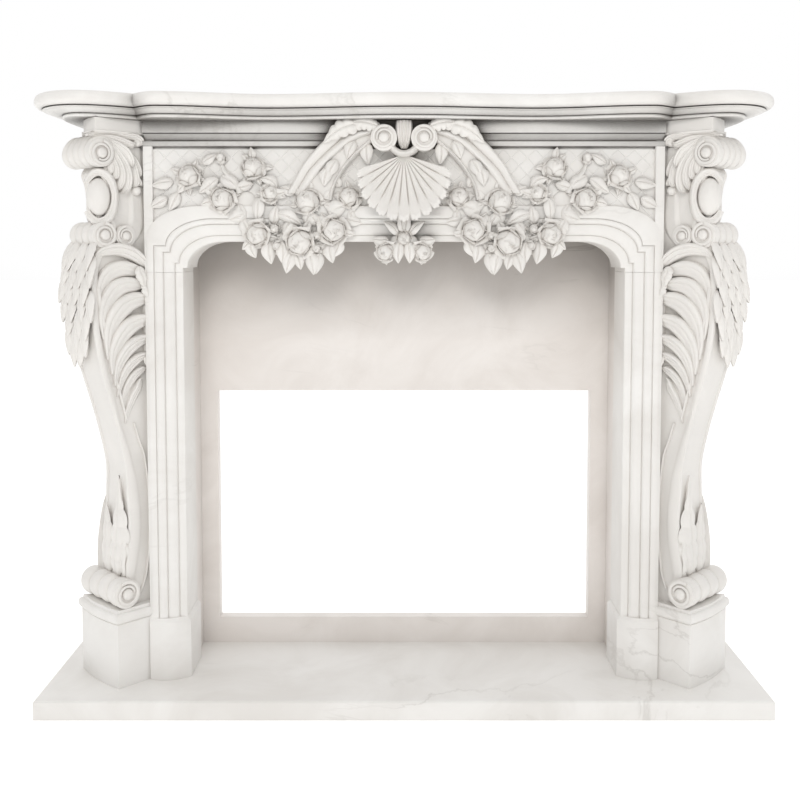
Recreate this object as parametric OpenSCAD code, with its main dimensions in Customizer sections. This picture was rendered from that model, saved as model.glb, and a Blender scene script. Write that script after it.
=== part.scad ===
// Carved marble fireplace mantel: diagonal scroll consoles, a shouldered arch under a
// garlanded frieze, and a serpentine shelf over a flat hearth slab.
// Millimetres. Z is up, the wall stands at +Y, the origin is on the floor under the middle.

/* [Overall] */
// Width over the ends of the shelf
mantel_w = 1740; // [1500:10:2100]
// Height from the floor to the top of the shelf
mantel_h = 1447; // [1200:1:1750]
// Depth from the front edge of the hearth slab to the wall
mantel_d = 380; // [360:5:460]

/* [Hearth slab] */
// Thickness of the hearth slab
hearth_t = 45; // [30:1:80]
// How far each end of the hearth slab stops short of the shelf's end
hearth_inset = 10; // [0:1:40]
// Chamfer on the upper edges of the hearth slab
hearth_chamfer = 3; // [1:1:8]

/* [Shelf] */
// Thickness of the shelf slab
slab_t = 31; // [22:1:50]
// Height of the bed moulding under the slab
bed_t = 25; // [16:1:50]
// How far the foot of the bed moulding lies behind the slab's nose
bed_setback = 38; // [25:1:60]
// How far the bed moulding's ends stop short of the slab's ends
bed_end_setback = 68; // [40:1:90]
// Reach of the slab's nose in front of the frieze face, at the middle bow
nose_reach = 95; // [80:1:120]
// Depth of the hollow curve between the middle bow and the wings
hollow_depth = 33; // [10:1:40]
// Further reach of the wings, beside the consoles, beyond the middle bow
wing_reach = 13; // [0:1:30]
// Further reach of the end bays beyond the middle bow
bay_reach = 29; // [10:1:40]
// Depth of the notch between a wing and an end bay
notch_depth = 38; // [15:1:50]

/* [Jambs and frieze] */
// Distance from the front edge of the hearth slab to the frieze face
face_setback = 128; // [120:1:160]
// Width of a jamb, from the arris at the opening to the console
jamb_w = 88; // [70:1:120]
// Depth of a jamb block behind the frieze face
jamb_d = 128; // [100:1:150]
// Thickness of the frieze block
frieze_t = 62; // [45:1:90]
// Height of the frieze block, from its seam on the jambs to the shelf
frieze_h = 356; // [340:1:420]
// Height of the arch crown above the seam
arch_rise = 73; // [65:1:90]
// Step back of each moulding from the next one out
moulding_step = 6; // [3:1:9]
// Height of the jamb plinth above the hearth slab
jamb_plinth_h = 150; // [100:1:180]
// How far the jamb plinth stands proud of the jamb
jamb_plinth_proud = 9; // [5:1:15]

/* [Consoles] */
// Distance from the end of the shelf to the seam between jamb and console
bay_w = 253.5; // [235:0.5:300]
// Height of the console plinth block above the hearth slab
plinth_h = 157; // [120:1:200]
// Height of the cap moulding on the console plinth
plinth_cap_h = 31; // [20:1:45]
// Width of the console plinth across its front face
plinth_w = 178; // [165:1:185]
// Height of the square block at the head of the console
abacus_h = 34; // [20:1:45]
// Radius of the scroll at the foot
foot_roll_r = 36; // [30:1:40]
// Radius of the scroll at the head
head_roll_r = 31; // [22:1:34]
// Radius of the reeded roll between the head and the leg
waist_roll_r = 31; // [24:1:34]

/* [Firebox surround] */
// Thickness of the back panel and of the side cheeks
panel_t = 29; // [20:1:45]
// Clear height of the firebox opening
firebox_h = 606; // [500:1:700]
// Height of the firebox opening's sill above the hearth slab
firebox_sill = 69; // [20:1:100]
// Width of the panel shown on each side of the firebox opening
firebox_margin = 45; // [30:1:120]
// How far the back panel rises above the arch crown
panel_rise = 120; // [60:1:200]

/* [Carving] */
// Radius of the largest roses
rose_r = 30; // [24:1:34]
// How far the roses stand out of the frieze field
rose_out = 34; // [24:1:40]
// Number of flutes in the shell
shell_flutes = 11; // [7:2:15]
// Rows of overlapping leaves on the front of a console
leaf_rows = 4; // [4:1:8]

/* [Hidden] */

marble = "#ECEAE4";
marble_shade = "#E2DFD8";

front_y = -mantel_d / 2;
wall_y = mantel_d / 2;
face_y = front_y + face_setback;
soffit_z = mantel_h - slab_t - bed_t;
seam_z = soffit_z - frieze_h;
crown_z = seam_z + arch_rise;
seam_x = mantel_w / 2 - bay_w;
arris_x = seam_x - jamb_w;
jamb_back_y = face_y + jamb_d;
panel_y = wall_y - panel_t;
cheek_x = arris_x + 5;
panel_top_z = crown_z + panel_rise;
cap_z = hearth_t + plinth_h + plinth_cap_h;
abacus_z = soffit_z - abacus_h;

// Arch lines from the opening outwards. Each is the shoulder's outer end and inner end as
// distances from the arris, the heights of shoulder and crown above the seam and crown, and
// the width of the curve between them.
arch_lines = [[0, -10, 10, 0, 88], [19, 9, 22, 15, 94], [45, 28, 49, 42, 104], [67, 38, 64, 55, 114]];
outer_line = [84, 84, 78, 84, 125];

// ---------- shared helpers ----------

// Smooth curve through listed points, with a number of steps to each span.
function bend(a, b, c, d, t) =
    0.5 * (2 * b + (c - a) * t + (2 * a - 5 * b + 4 * c - d) * t * t
        + (3 * b - a - 3 * c + d) * t * t * t);
function smooth(p, steps) = let (n = len(p)) concat(
    [for (i = [0:n - 2], k = [0:steps - 1])
        bend(p[max(i - 1, 0)], p[i], p[i + 1], p[min(i + 2, n - 1)], k / steps)],
    [p[n - 1]]);

// Quarter turn from the point a to the point b, leaving a upright.
function quarter(a, b, steps) =
    [for (k = [0:steps]) let (t = 90 * k / steps)
        [b[0] + (a[0] - b[0]) * cos(t), a[1] + (b[1] - a[1]) * sin(t)]];

function flip(p) = [for (i = [len(p) - 1:-1:0]) [-p[i][0], p[i][1]]];

// Closed solid through a stack of rings, each with the same number of points.
module loft(rings) {
    n = len(rings[0]);
    m = len(rings);
    polyhedron(
        points = [for (r = rings, p = r) p],
        faces = concat([[for (i = [0:n - 1]) i]],
            [for (j = [0:m - 2], i = [0:n - 1]) let (k = (i + 1) % n, b = j * n)
                [b + i, b + n + i, b + n + k, b + k]],
            [[for (i = [n - 1:-1:0]) (m - 1) * n + i]]),
        convexity = 8);
}

// A copy on each side of the middle.
module pair() {
    children();
    mirror([1, 0, 0]) children();
}

// Children drawn flat, X across and Y up, and rooted in the sunk field with Z outwards.
carving_root = 1;
module on_frieze(x, z, out = 0) {
    translate([x, face_y + moulding_step + carving_root - out, z]) rotate([90, 0, 0]) children();
}

// Five-lobed outline of a rose's whorl of petals.
function whorl(r, turn) = [for (k = [0:9])
    let (a = turn + 36 * k, q = r * (1 + 0.09 * cos(5 * (a - turn)))) [q * cos(a), q * sin(a)]];

// Open rose: a whorl of petals opening outwards round a bud.
module rose(r, out) {
    linear_extrude(out * 0.72, scale = 1.15) polygon(whorl(r * 0.86, 11));
    translate([0, 0, out * 0.6]) rotate([0, 0, 47])
        cylinder(h = out * 0.4, r1 = r * 0.74, r2 = r * 0.34, $fn = 5);
}

// Pointed leaf lying along +X with a raised midrib.
module leaf(l, w, out) {
    hull() {
        linear_extrude(out * 0.35)
            polygon([[0, 0], [l * 0.4, -w / 2], [l, 0], [l * 0.4, w / 2]]);
        linear_extrude(out) polygon([[l * 0.15, 0], [l * 0.7, -w * 0.05], [l * 0.7, w * 0.05]]);
    }
}

// Flat spiral band that winds inwards from radius r to the eye, as an outline.
function coil(r, eye, band, turns, steps) = concat(
    [for (k = [0:steps]) let (t = k / steps, q = r + (eye - r) * t, a = 360 * turns * t)
        [q * cos(a), q * sin(a)]],
    [for (k = [steps:-1:0])
        let (t = k / steps, q = r + (eye - r) * t - band * (1 - 0.5 * t), a = 360 * turns * t)
        [q * cos(a), q * sin(a)]]);

module volute(r, band, out, turns = 1.25) {
    linear_extrude(out) polygon(coil(r, r * 0.5, band, turns, 7));
    cylinder(h = out * 1.15, r1 = r * 0.36, r2 = r * 0.24, $fn = 5);
}

// ---------- flat pieces ----------

module hearth_slab() {
    color(marble) {
        w = mantel_w - 2 * hearth_inset;
        c = hearth_chamfer;
        intersection() {
            translate([-w / 2, 0, 0]) rotate([90, 0, 90]) linear_extrude(w)
                polygon([[front_y, 0], [wall_y, 0], [wall_y, hearth_t],
                    [front_y + c, hearth_t], [front_y, hearth_t - c]]);
            translate([0, wall_y, 0]) rotate([90, 0, 0]) linear_extrude(mantel_d)
                polygon([[-w / 2, 0], [w / 2, 0], [w / 2, hearth_t - c],
                    [w / 2 - c, hearth_t], [c - w / 2, hearth_t], [-w / 2, hearth_t - c]]);
        }
    }
}

module back_panel() {
    half = cheek_x + panel_t;
    open_x = cheek_x - firebox_margin;
    color(marble) difference() {
        translate([-half, panel_y, hearth_t]) cube([2 * half, panel_t, panel_top_z - hearth_t]);
        translate([-open_x, panel_y - 1, hearth_t + firebox_sill])
            cube([2 * open_x, panel_t + 2, firebox_h]);
    }
}

// Side cheek of the hearth recess, between the jamb and the back panel.
module cheek(side) {
    color(marble_shade) translate([side > 0 ? cheek_x : -cheek_x - panel_t, jamb_back_y, hearth_t])
        cube([panel_t, panel_y - jamb_back_y, panel_top_z - hearth_t]);
}

// Thickness of the plain slab that closes the side between the console and the wall.
return_t = 70;
module side_return(side) {
    y = face_y + frieze_t;
    color(marble) translate([side > 0 ? seam_x : -seam_x - return_t, y, hearth_t])
        cube([return_t, wall_y - y, soffit_z - hearth_t]);
}

// ---------- jambs ----------

// Plan of the right jamb from the arris to the console seam, stepped out towards the seam.
jamb_plan = let (s = moulding_step, y = face_y, a = arris_x, l = arch_lines) [
    [a, jamb_back_y], [a, y + 3 * s],
    [a + l[1][0], y + 3 * s], [a + l[1][0], y + 1.5 * s],
    [a + l[2][0], y + 0.8 * s], [a + l[2][0], y - 0.4 * s],
    [a + l[3][0] - 8, y - s], [a + l[3][0], y - 0.4 * s], [a + l[3][0] + 2, y],
    [seam_x, y], [seam_x, jamb_back_y]];

module jamb(side) {
    z = hearth_t + jamb_plinth_h;
    color(marble) mirror([side > 0 ? 0 : 1, 0, 0])
        translate([0, 0, z]) linear_extrude(seam_z - z) polygon(jamb_plan);
}

// Plan of the jamb's plinth, bowed to follow the jamb's own front.
function jamb_plinth_plan(grow) = let (y = face_y - grow) concat(
    [[arris_x - grow, jamb_back_y], [arris_x - grow, y + 3 * moulding_step]],
    [for (k = [1:7]) let (t = k / 8)
        [arris_x - grow + (jamb_w + grow) * t, y + 3 * moulding_step * (1 - t) - 14 * sin(180 * t)]],
    [[seam_x, y], [seam_x, jamb_back_y]]);

module jamb_plinth(side) {
    chamfer = 8;
    rings = [for (s = [[hearth_t, 0], [hearth_t + jamb_plinth_h - chamfer, 0],
        [hearth_t + jamb_plinth_h, chamfer - 1]])
        [for (p = jamb_plinth_plan(jamb_plinth_proud - s[1])) [p[0], p[1], s[0]]]];
    color(marble) mirror([side > 0 ? 0 : 1, 0, 0]) loft(rings);
}

// ---------- shelf ----------

bay_x = mantel_w / 2;
notch_x = seam_x + 5;
wing_x = notch_x - 58;
hollow_x = 310;
bay_nose_x = bay_x - 128;
bay_round_y = 148;

// Nose of the shelf on the right half: the middle bow, the hollow, the wing, the notch and
// the rounded end bay. The back and front setbacks pull the whole line in.
function shelf_half(set_y, set_x) =
    let (bow = face_y - nose_reach + set_y,
        low = bow + hollow_depth,
        wing = bow - wing_reach,
        notch = wing + notch_depth,
        bay = bow - bay_reach)
    concat(
        [for (k = [0:4]) let (t = k / 5) [hollow_x * t, bow + (low - bow) * (1 - cos(180 * t)) / 2]],
        [for (k = [0:4]) let (t = k / 5)
            [hollow_x + (wing_x - hollow_x) * t, low + (wing - low) * (1 - cos(180 * t)) / 2]],
        [for (k = [0:3]) let (t = k / 4)
            [wing_x + (notch_x - wing_x) * t, notch + (wing - notch) * cos(90 * t)]],
        [for (k = [0:4]) let (t = k / 5)
            [notch_x + (bay_nose_x - notch_x) * t, notch + (bay - notch) * sin(90 * t)]],
        [for (k = [0:6]) let (t = 15 * k)
            [bay_nose_x + (bay_x - set_x - bay_nose_x) * sin(t), bay + bay_round_y * (1 - cos(t))]],
        [[bay_x - set_x, wall_y]]);

function shelf_ring(z, set_y, set_x) = let (h = shelf_half(set_y, set_x), n = len(h))
    [for (i = [n - 1:-1:1]) [-h[i][0], h[i][1], z], for (p = h) [p[0], p[1], z]];

module shelf() {
    z0 = soffit_z;
    z1 = soffit_z + bed_t;
    r = slab_t / 2;
    b = bed_setback;
    e = bed_end_setback;
    bed = [[0, b, e], [0.16, b - 6, e - 8], [0.3, b - 6, e - 9], [0.65, 21, 28], [0.97, 12, 13]];
    color(marble) loft(concat(
        [for (s = bed) shelf_ring(z0 + bed_t * s[0], s[1], s[2])],
        [for (a = [-90:45:90]) shelf_ring(z1 + r + r * sin(a), r * (1 - cos(a)) * 0.7, r * (1 - cos(a)) * 0.7)]));
}

// ---------- frieze ----------

// Outline of the arch under one line, closed below the seam.
function arch(line) =
    let (jx = arris_x + line[0], ax = arris_x + line[1], s = seam_z + line[2],
        c = crown_z + line[3],
        right = concat([[jx, seam_z - 1], [jx, s]],
            quarter([ax, s], [ax - line[4], c], 5)))
    concat(right, flip(right));

// Height of the cornice band under the shelf, and the frame's depth below the shelf and from
// the console seams to the sunk field.
cornice_h = 30;
frame_drop = 60;
frame_in = 22;

// A cut from the front of the frieze down to the given depth.
module sink(depth) {
    translate([0, depth, 0]) rotate([90, 0, 0]) linear_extrude(depth - face_y + 4 * moulding_step)
        children();
}

// The plain moulded block: steps that follow the arch, a frame band and a sunk field.
module frieze_ground() {
    s = moulding_step;
    depths = [face_y + frieze_t + 1, face_y + 3 * s, face_y + 1.2 * s, face_y];
    difference() {
        translate([-seam_x, face_y - s, seam_z]) cube([2 * seam_x, frieze_t + s, frieze_h]);
        for (k = [0:3]) sink(depths[k]) polygon(arch(arch_lines[k]));
        // Sunk field between the frame and the outermost arch line
        sink(face_y + s) difference() {
            translate([frame_in - seam_x, seam_z + outer_line[2]])
                square([2 * (seam_x - frame_in), frieze_h - frame_drop - outer_line[2]]);
            polygon(arch(outer_line));
        }
        // Recessed frame below the cornice band
        sink(face_y - s / 2) translate([-seam_x - 1, soffit_z - frame_drop])
            square([2 * seam_x + 2, frame_drop - cornice_h]);
    }
}

// Scallop shell, hinged above and flaring forward at its lower lip. Each ring runs across the
// flutes at one share of the way from the hinge to the lip.
// Depth of the hinge below the shelf, length from hinge to lip, and half angle of the fan.
shell_drop = 81;
shell_reach = 150;
shell_spread = 72;
function shell_ring(share) = let (n = 2 * shell_flutes) concat(
    [for (k = [n:-1:0])
        let (a = -90 + shell_spread * (2 * k / n - 1), crest = k % 2,
            q = shell_reach * share * (0.7 + 0.3 * cos(a + 90)) * (1 - 0.05 * (1 - crest)))
        [q * cos(a), q * sin(a), 16 + 30 * pow(share, 1.6) + 7 * share * crest]],
    [[-20 * share, 0, -1], [20 * share, 0, -1]]);

module shell() {
    on_frieze(0, soffit_z - shell_drop) loft([for (share = [0.15, 0.5, 0.8, 1]) shell_ring(share)]);
    // Crescent and fan of leaf between the hinge and the shelf
    on_frieze(0, soffit_z - shell_drop) for (a = [-1, 0, 1])
        rotate([0, 0, 90 + 13 * a]) leaf(76, 26, 40);
}

// Fluted C-scroll that runs from a volute beside the shell down and outwards.
// Middle line of the scroll: place across and place below the shelf.
scroll_mid = [[55, -46], [98, -42], [150, -62], [200, -98], [236, -136]];
module c_scroll() {
    path = smooth(scroll_mid, 2);
    n = len(path);
    on_frieze(0, soffit_z) {
        loft([for (i = [0:n - 1])
            let (t = i / (n - 1), d = path[min(i + 1, n - 1)] - path[max(i - 1, 0)],
                side = [-d[1], d[0]] / norm(d), w = 27 - 11 * t, h = 31 - 12 * t)
            [for (q = [[1, -1], [0.8, h], [0.1, h - 6], [-0.6, h], [-1, -1]])
                [path[i][0] + side[0] * w * q[0], path[i][1] + side[1] * w * q[0], q[1]]]]);
        for (i = [1:2:n - 2]) {
            d = path[i + 1] - path[i];
            translate([path[i][0], path[i][1], 4]) rotate([0, 0, atan2(d[1], d[0]) + 61])
                leaf(50 - 2 * i, 28, 21);
        }
    }
    on_frieze(53, soffit_z - 47) volute(28, 8, 36);
}

// Roses of one side: place across, place below the shelf, radius as a share of the largest.
rose_places = [[507, -130, 0.86], [429, -183, 0.88], [356, -109, 0.88], [130, -178, 0.8],
    [227, -190, 0.98], [347, -265, 0.88], [246, -287, 1], [166, -259, 0.98], [328, -172, 0.75]];

// Leaves of one side: place across, place below the shelf, length, width, direction, lift.
leaf_places = [[521, -150, 60, 30, 150, 0], [536, -163, 58, 30, 235, 0], [497, -161, 56, 28, 290, 0],
    [471, -127, 58, 30, 60, 0], [431, -113, 52, 30, 100, 0],
    [281, -151, 60, 30, 120, 6], [283, -216, 60, 32, 250, 9], [321, -286, 64, 34, 262, 7],
    [276, -299, 66, 34, 277, 9], [214, -296, 62, 34, 258, 13], [184, -289, 64, 32, 275, 5],
    [149, -152, 68, 30, 135, 0]];

// Stone left behind the flowers that hang below the arch, as a chain of low bosses.
module carving_bed(places, r) {
    for (i = [0:len(places) - 2]) hull() for (p = [places[i], places[i + 1]])
        translate([p[0], face_y + 3.4 * moulding_step, soffit_z + p[1]]) rotate([90, 0, 0])
            cylinder(h = 4.6 * moulding_step, r1 = r, r2 = r * 0.8, $fn = 6);
}

module garland() {
    carving_bed([[345, -262], [300, -288], [236, -292], [168, -268]], 24);
    for (p = rose_places)
        on_frieze(p[0], soffit_z + p[1], p[1] < -230 ? 6 : 0) rose(rose_r * p[2], rose_out);
    for (p = leaf_places)
        on_frieze(p[0], soffit_z + p[1], p[5]) rotate([0, 0, p[4]]) leaf(p[2], p[3], 20);
}

// Drop of small flowers below the shell, hanging a little into the arch.
module pendant() {
    z = soffit_z - 282;
    carving_bed([[-44, -302], [0, -284], [44, -302]], 19);
    on_frieze(0, z + 12) rose(rose_r * 0.62, rose_out * 0.9);
    pair() {
        on_frieze(43, z - 24) rose(rose_r * 0.72, rose_out);
        on_frieze(20, z + 10, -12) rotate([0, 0, 20]) leaf(62, 26, 32);
    }
    on_frieze(0, z) rotate([0, 0, -90]) leaf(58, 34, 26);
}

module frieze() {
    color(marble) {
        frieze_ground();
        shell();
        pendant();
        pair() {
            c_scroll();
            garland();
        }
    }
}

// ---------- consoles ----------

// A console is drawn with X outwards along its diagonal, Y across its front and Z up.
// The diagonal starts inside the jamb, this far from its seam and behind the frieze face.
diag_in = 39.5;
diag_x = seam_x - diag_in;
diag_y = face_y + frieze_t;
plinth_reach = 161;
plinth_side = -18;
module diagonal(side) {
    mirror([side > 0 ? 0 : 1, 0, 0]) translate([diag_x, diag_y, 0]) rotate([0, 0, -45]) children();
}

// Everything on the console's side of the jamb's seam and in front of the side return.
module console_zone(side) {
    big = 1000;
    back = face_y + frieze_t;
    mirror([side > 0 ? 0 : 1, 0, 0]) translate([seam_x, back - big, 0]) cube([big, big, 2 * big]);
}

// Plan of the console plinth: a block turned to the diagonal with a slightly bowed front.
function console_plan(grow) = concat(
    [[-60, plinth_side - grow]],
    [for (k = [0:6]) let (t = k / 6)
        [plinth_reach + grow + 4 * sin(180 * t), plinth_side - grow + (plinth_w + 2 * grow) * t]],
    [[-60, plinth_side + plinth_w + grow]]);

module console_plinth(side) {
    h = plinth_cap_h;
    z = hearth_t + plinth_h;
    rings = [for (s = [[hearth_t, 0], [z, 0], [z + 0.1 * h, 5], [z + 0.35 * h, 5],
        [z + 0.6 * h, 0], [z + 0.75 * h, -5], [z + h, -6]])
        [for (p = console_plan(s[1] - 1)) [p[0], p[1], s[0]]]];
    color(marble) intersection() {
        diagonal(side) loft(rings);
        console_zone(side);
    }
}

// Front line of the leg: reach along the diagonal, share of the height from foot to waist,
// and width across. The share stretches with the mantel, the reach and width stay.
leg_line = [[120, 0, 128], [115, 0.14, 126], [117, 0.25, 112], [123, 0.38, 98], [146, 0.5, 100],
    [176, 0.63, 108], [192, 0.72, 116], [200, 0.83, 124], [198, 0.93, 124], [176, 1, 118]];
leg_foot_z = cap_z + 30;
waist_z = soffit_z - 269;
leg_top_z = waist_z + 6;

// Head line: reach, height below the shelf and width, from the waist up to the abacus.
head_line = [[160, -270, 110], [150, -248, 100], [158, -222, 104], [158, -180, 104], [164, -140, 104],
    [170, -112, 100], [160, -84, 100], [164, -56, 96], [172, -29, 84]];

function body_ring(z, reach, width) = let (c = 9)
    [[-60, 0, z], [reach - c, 0, z], [reach, c, z], [reach, width - c, z], [reach - c, width, z], [-60, width, z]];

module leg_body() {
    pts = smooth(leg_line, 2);
    loft([for (p = pts) body_ring(leg_foot_z + (leg_top_z - leg_foot_z) * p[1], p[0], p[2])]);
}

module head_body() {
    pts = smooth(head_line, 2);
    loft([for (p = pts) body_ring(soffit_z + p[1], p[0], p[2])]);
}

// Reeded roll lying across the console, with a volute on its near end.
module roll(reach, z, r, from, to, reeds) {
    n = 8;
    translate([reach, 0, z]) {
        loft([for (k = [0:2 * reeds]) let (q = k % 2 == 0 ? r * 0.84 : r * 0.98,
                y = from + (to - from) * k / (2 * reeds))
            [for (i = [n - 1:-1:0]) [q * cos(360 * i / n), y, q * sin(360 * i / n)]]]);
        translate([0, from + 1, 0]) rotate([90, 0, 0]) volute(r, r * 0.26, 10);
    }
}

// Overlapping pointed leaves down the upper half of the leg's front.
module bay_leaves() {
    top = waist_z - 34;
    pts = smooth(leg_line, 4);
    for (i = [0:leaf_rows - 1], j = [-1, 0, 1]) {
        z = top - (i + (j == 0 ? 0 : 0.5)) * 250 / leaf_rows;
        t = (z - leg_foot_z) / (leg_top_z - leg_foot_z);
        reach = lookup(t, [for (p = pts) [p[1], p[0]]]);
        width = lookup(t, [for (p = pts) [p[1], p[2]]]);
        slope = lookup(t + 0.03, [for (p = pts) [p[1], p[0]]]) - lookup(t - 0.03, [for (p = pts) [p[1], p[0]]]);
        spread = 1 - 0.45 * i / leaf_rows;
        translate([reach - 4, width / 2 + 34 * j * spread, z]) rotate([0, 90 + slope * 1.1, 0])
            leaf(62, 34, 14);
    }
}

// Feathered leaf down the near side of the leg, and smaller leaves on head and foot.
side_leaf = [[60, -22, 118], [40, -50, 128], [34, -80, 132], [32, -110, 134], [36, -140, 136],
    [40, -170, 138], [46, -200, 140]];
head_leaf = [[95, -48, 30], [80, -76, 250], [70, -110, 262], [100, -60, 160], [84, -140, 275], [120, -205, 250]];
foot_leaf = [[0, 0.30, 46], [0, 0.22, 52], [0, 0.14, 52]];

module side_leaves() {
    for (p = side_leaf) translate([p[0], 1, waist_z + p[1]]) rotate([90, 0, 0])
        rotate([0, 0, -p[2] + 62]) leaf(82, 26, 14);
    for (p = head_leaf) translate([p[0], 1, soffit_z + p[1]]) rotate([90, 0, 0])
        rotate([0, 0, p[2]]) leaf(48, 24, 16);
}

module foot_leaves() {
    for (p = foot_leaf) let (z = leg_foot_z + (leg_top_z - leg_foot_z) * p[1])
        for (j = [-1, 1]) translate([112, 62 + 12 * j, z]) rotate([0, 90, 0]) rotate([0, 0, 180 - 20 * j])
            leaf(p[2], 24, 12);
}

// Raised oval boss on the near front corner of the head, in a moulded ring that is open towards
// the front: its middle along and across the console, the way it faces, and half its sizes.
cartouche_at = [172, 14];
cartouche_turn = 35;
boss_half = [27, 43, 24];
ring_half = [39, 66];
ring_band = 13;

module cartouche() {
    translate([cartouche_at[0], cartouche_at[1], soffit_z - 180]) rotate([0, 0, cartouche_turn])
        rotate([90, 0, 0]) {
            scale(boss_half / boss_half[1]) sphere(boss_half[1], $fn = 8);
            translate([0, 0, -16]) linear_extrude(27) difference() {
                scale([ring_half[0] / ring_half[1], 1]) circle(ring_half[1], $fn = 12);
                scale([(ring_half[0] - ring_band) / (ring_half[1] - ring_band), 1])
                    circle(ring_half[1] - ring_band, $fn = 12);
                translate([ring_half[0] / 2, -ring_half[1]]) square(2 * ring_half[1]);
            }
        }
}

// Square block under the shelf: reach and width of its corners.
abacus_plan = [[-60, -16], [194, -16], [190, 30], [176, 74], [-60, 80]];

module abacus() {
    translate([0, 0, abacus_z]) linear_extrude(abacus_h) polygon(abacus_plan);
}

module console(side) {
    color(marble) intersection() {
        diagonal(side) {
            leg_body();
            head_body();
            abacus();
            roll(132, cap_z + foot_roll_r, foot_roll_r, -14, 158, 3);
            translate([-60, 0, cap_z]) cube([190, 124, foot_roll_r]);
            roll(168, waist_z, waist_roll_r, -10, 116, 3);
            roll(114, waist_z - 2, waist_roll_r * 0.82, -9, 20, 1);
            roll(174, soffit_z - 79, head_roll_r, -12, 128, 3);
            cartouche();
            bay_leaves();
            side_leaves();
            foot_leaves();
        }
        console_zone(side);
    }
}

hearth_slab();
back_panel();
cheek(-1);  // cheek_left
cheek(1);  // cheek_right
side_return(-1);  // side_return_left
side_return(1);  // side_return_right
jamb_plinth(-1);  // jamb_plinth_left
jamb_plinth(1);  // jamb_plinth_right
jamb(-1);  // jamb_left
jamb(1);  // jamb_right
console_plinth(-1);  // console_plinth_left
console_plinth(1);  // console_plinth_right
console(-1);  // console_left
console(1);  // console_right
frieze();
shelf();
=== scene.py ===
"""Carved marble fireplace mantel: serpentine shelf, garlanded arch frieze, diagonal scroll consoles."""

import logging
import math
from dataclasses import dataclass, field
from enum import Enum

import bmesh
import bpy
import numpy as np
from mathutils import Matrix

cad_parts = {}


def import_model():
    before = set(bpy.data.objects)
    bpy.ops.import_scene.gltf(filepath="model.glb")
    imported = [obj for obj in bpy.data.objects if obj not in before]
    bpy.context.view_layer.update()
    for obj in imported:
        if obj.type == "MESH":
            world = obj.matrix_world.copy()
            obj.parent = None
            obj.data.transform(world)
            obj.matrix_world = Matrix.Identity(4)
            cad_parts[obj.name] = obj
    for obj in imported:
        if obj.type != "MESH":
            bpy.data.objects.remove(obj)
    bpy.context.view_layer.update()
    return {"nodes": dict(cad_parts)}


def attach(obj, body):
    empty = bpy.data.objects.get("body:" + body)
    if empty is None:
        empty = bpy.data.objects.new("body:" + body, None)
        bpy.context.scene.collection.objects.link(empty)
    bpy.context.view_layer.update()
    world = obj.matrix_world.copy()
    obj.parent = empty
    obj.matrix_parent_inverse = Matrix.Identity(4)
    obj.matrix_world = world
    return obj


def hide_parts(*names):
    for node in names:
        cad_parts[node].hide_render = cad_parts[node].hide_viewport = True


Array = np.ndarray
LOG = logging.getLogger("mantel")
MM = 0.001
ROOT_HALF = math.sqrt(0.5)
# Points closer than this are one, and an edge bent by more than this angle is sharp.
WELD_M = 2e-6
SHARP_DEGREES = 40
# Smallest radius at the top of a turned shape, so that its last ring never closes on one point.
POLE = 0.01


class Side(Enum):
    """The two sides of the mantel, as the sign of X."""

    LEFT = -1
    RIGHT = 1

    @property
    def word(self) -> str:
        """Name used at the end of node and piece names."""
        return self.name.lower()


class Bloom(Enum):
    """How far a rose has opened."""

    BUD = 0.15
    HALF = 0.55
    OPEN = 1.0


# ---------- curves and grids ----------


def curve(points: list[tuple[float, ...]], count: int) -> Array:
    """Smooth curve through listed points: a cubic between each pair whose slope at a point is
    half the step from the point before to the point after.

    Args:
        points: listed points, of any dimension.
        count: number of points wanted along the curve.

    Returns:
        Array (count, dimension) evenly spaced in the listed points' numbering.
    """
    p = np.asarray(points, float)
    p = np.concatenate([2 * p[:1] - p[1:2], p, 2 * p[-1:] - p[-2:-1]])
    x = np.linspace(0, len(points) - 1, count)
    i = np.minimum(x.astype(int), len(points) - 2)
    t = (x - i)[:, None]
    a, b, c, d = p[i], p[i + 1], p[i + 2], p[i + 3]
    return 0.5 * (2 * b + (c - a) * t + (2 * a - 5 * b + 4 * c - d) * t**2 + (3 * b - a - 3 * c + d) * t**3)


def normals_of(path: Array) -> Array:
    """Unit left-hand normals of a flat path: its direction at each point turned a quarter.

    Args:
        path: (n, 2) points.

    Returns:
        (n, 2) unit vectors.
    """
    d = np.gradient(path, axis=0)
    d /= np.linalg.norm(d, axis=1, keepdims=True) + 1e-9
    return np.stack([-d[:, 1], d[:, 0]], 1)


def ease(x: Array | float, low: float, high: float) -> Array:
    """Smooth step from 0 at low to 1 at high."""
    t = np.clip((np.asarray(x, float) - low) / (high - low), 0, 1)
    return t * t * (3 - 2 * t)


def turn(grid: Array, degrees: float, axis: int = 2) -> Array:
    """Grid turned about one of its own axes.

    Args:
        grid: (..., 3) points.
        degrees: angle, counter-clockwise seen from the axis' far end.
        axis: 0, 1 or 2.

    Returns:
        The turned points.
    """
    a = math.radians(degrees)
    i, j = [(1, 2), (2, 0), (0, 1)][axis]
    out = np.array(grid, float)
    out[..., i] = grid[..., i] * math.cos(a) - grid[..., j] * math.sin(a)
    out[..., j] = grid[..., i] * math.sin(a) + grid[..., j] * math.cos(a)
    return out


def circle(count: int) -> Array:
    """Angles evenly round a full circle, in radians."""
    return np.linspace(0, 2 * math.pi, count, endpoint=False)


def raised(flat: Array, z: float) -> Array:
    """Flat outline (n, 2) set at a height, as (n, 3) points."""
    return np.concatenate([flat, np.full((len(flat), 1), float(z))], 1)


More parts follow.
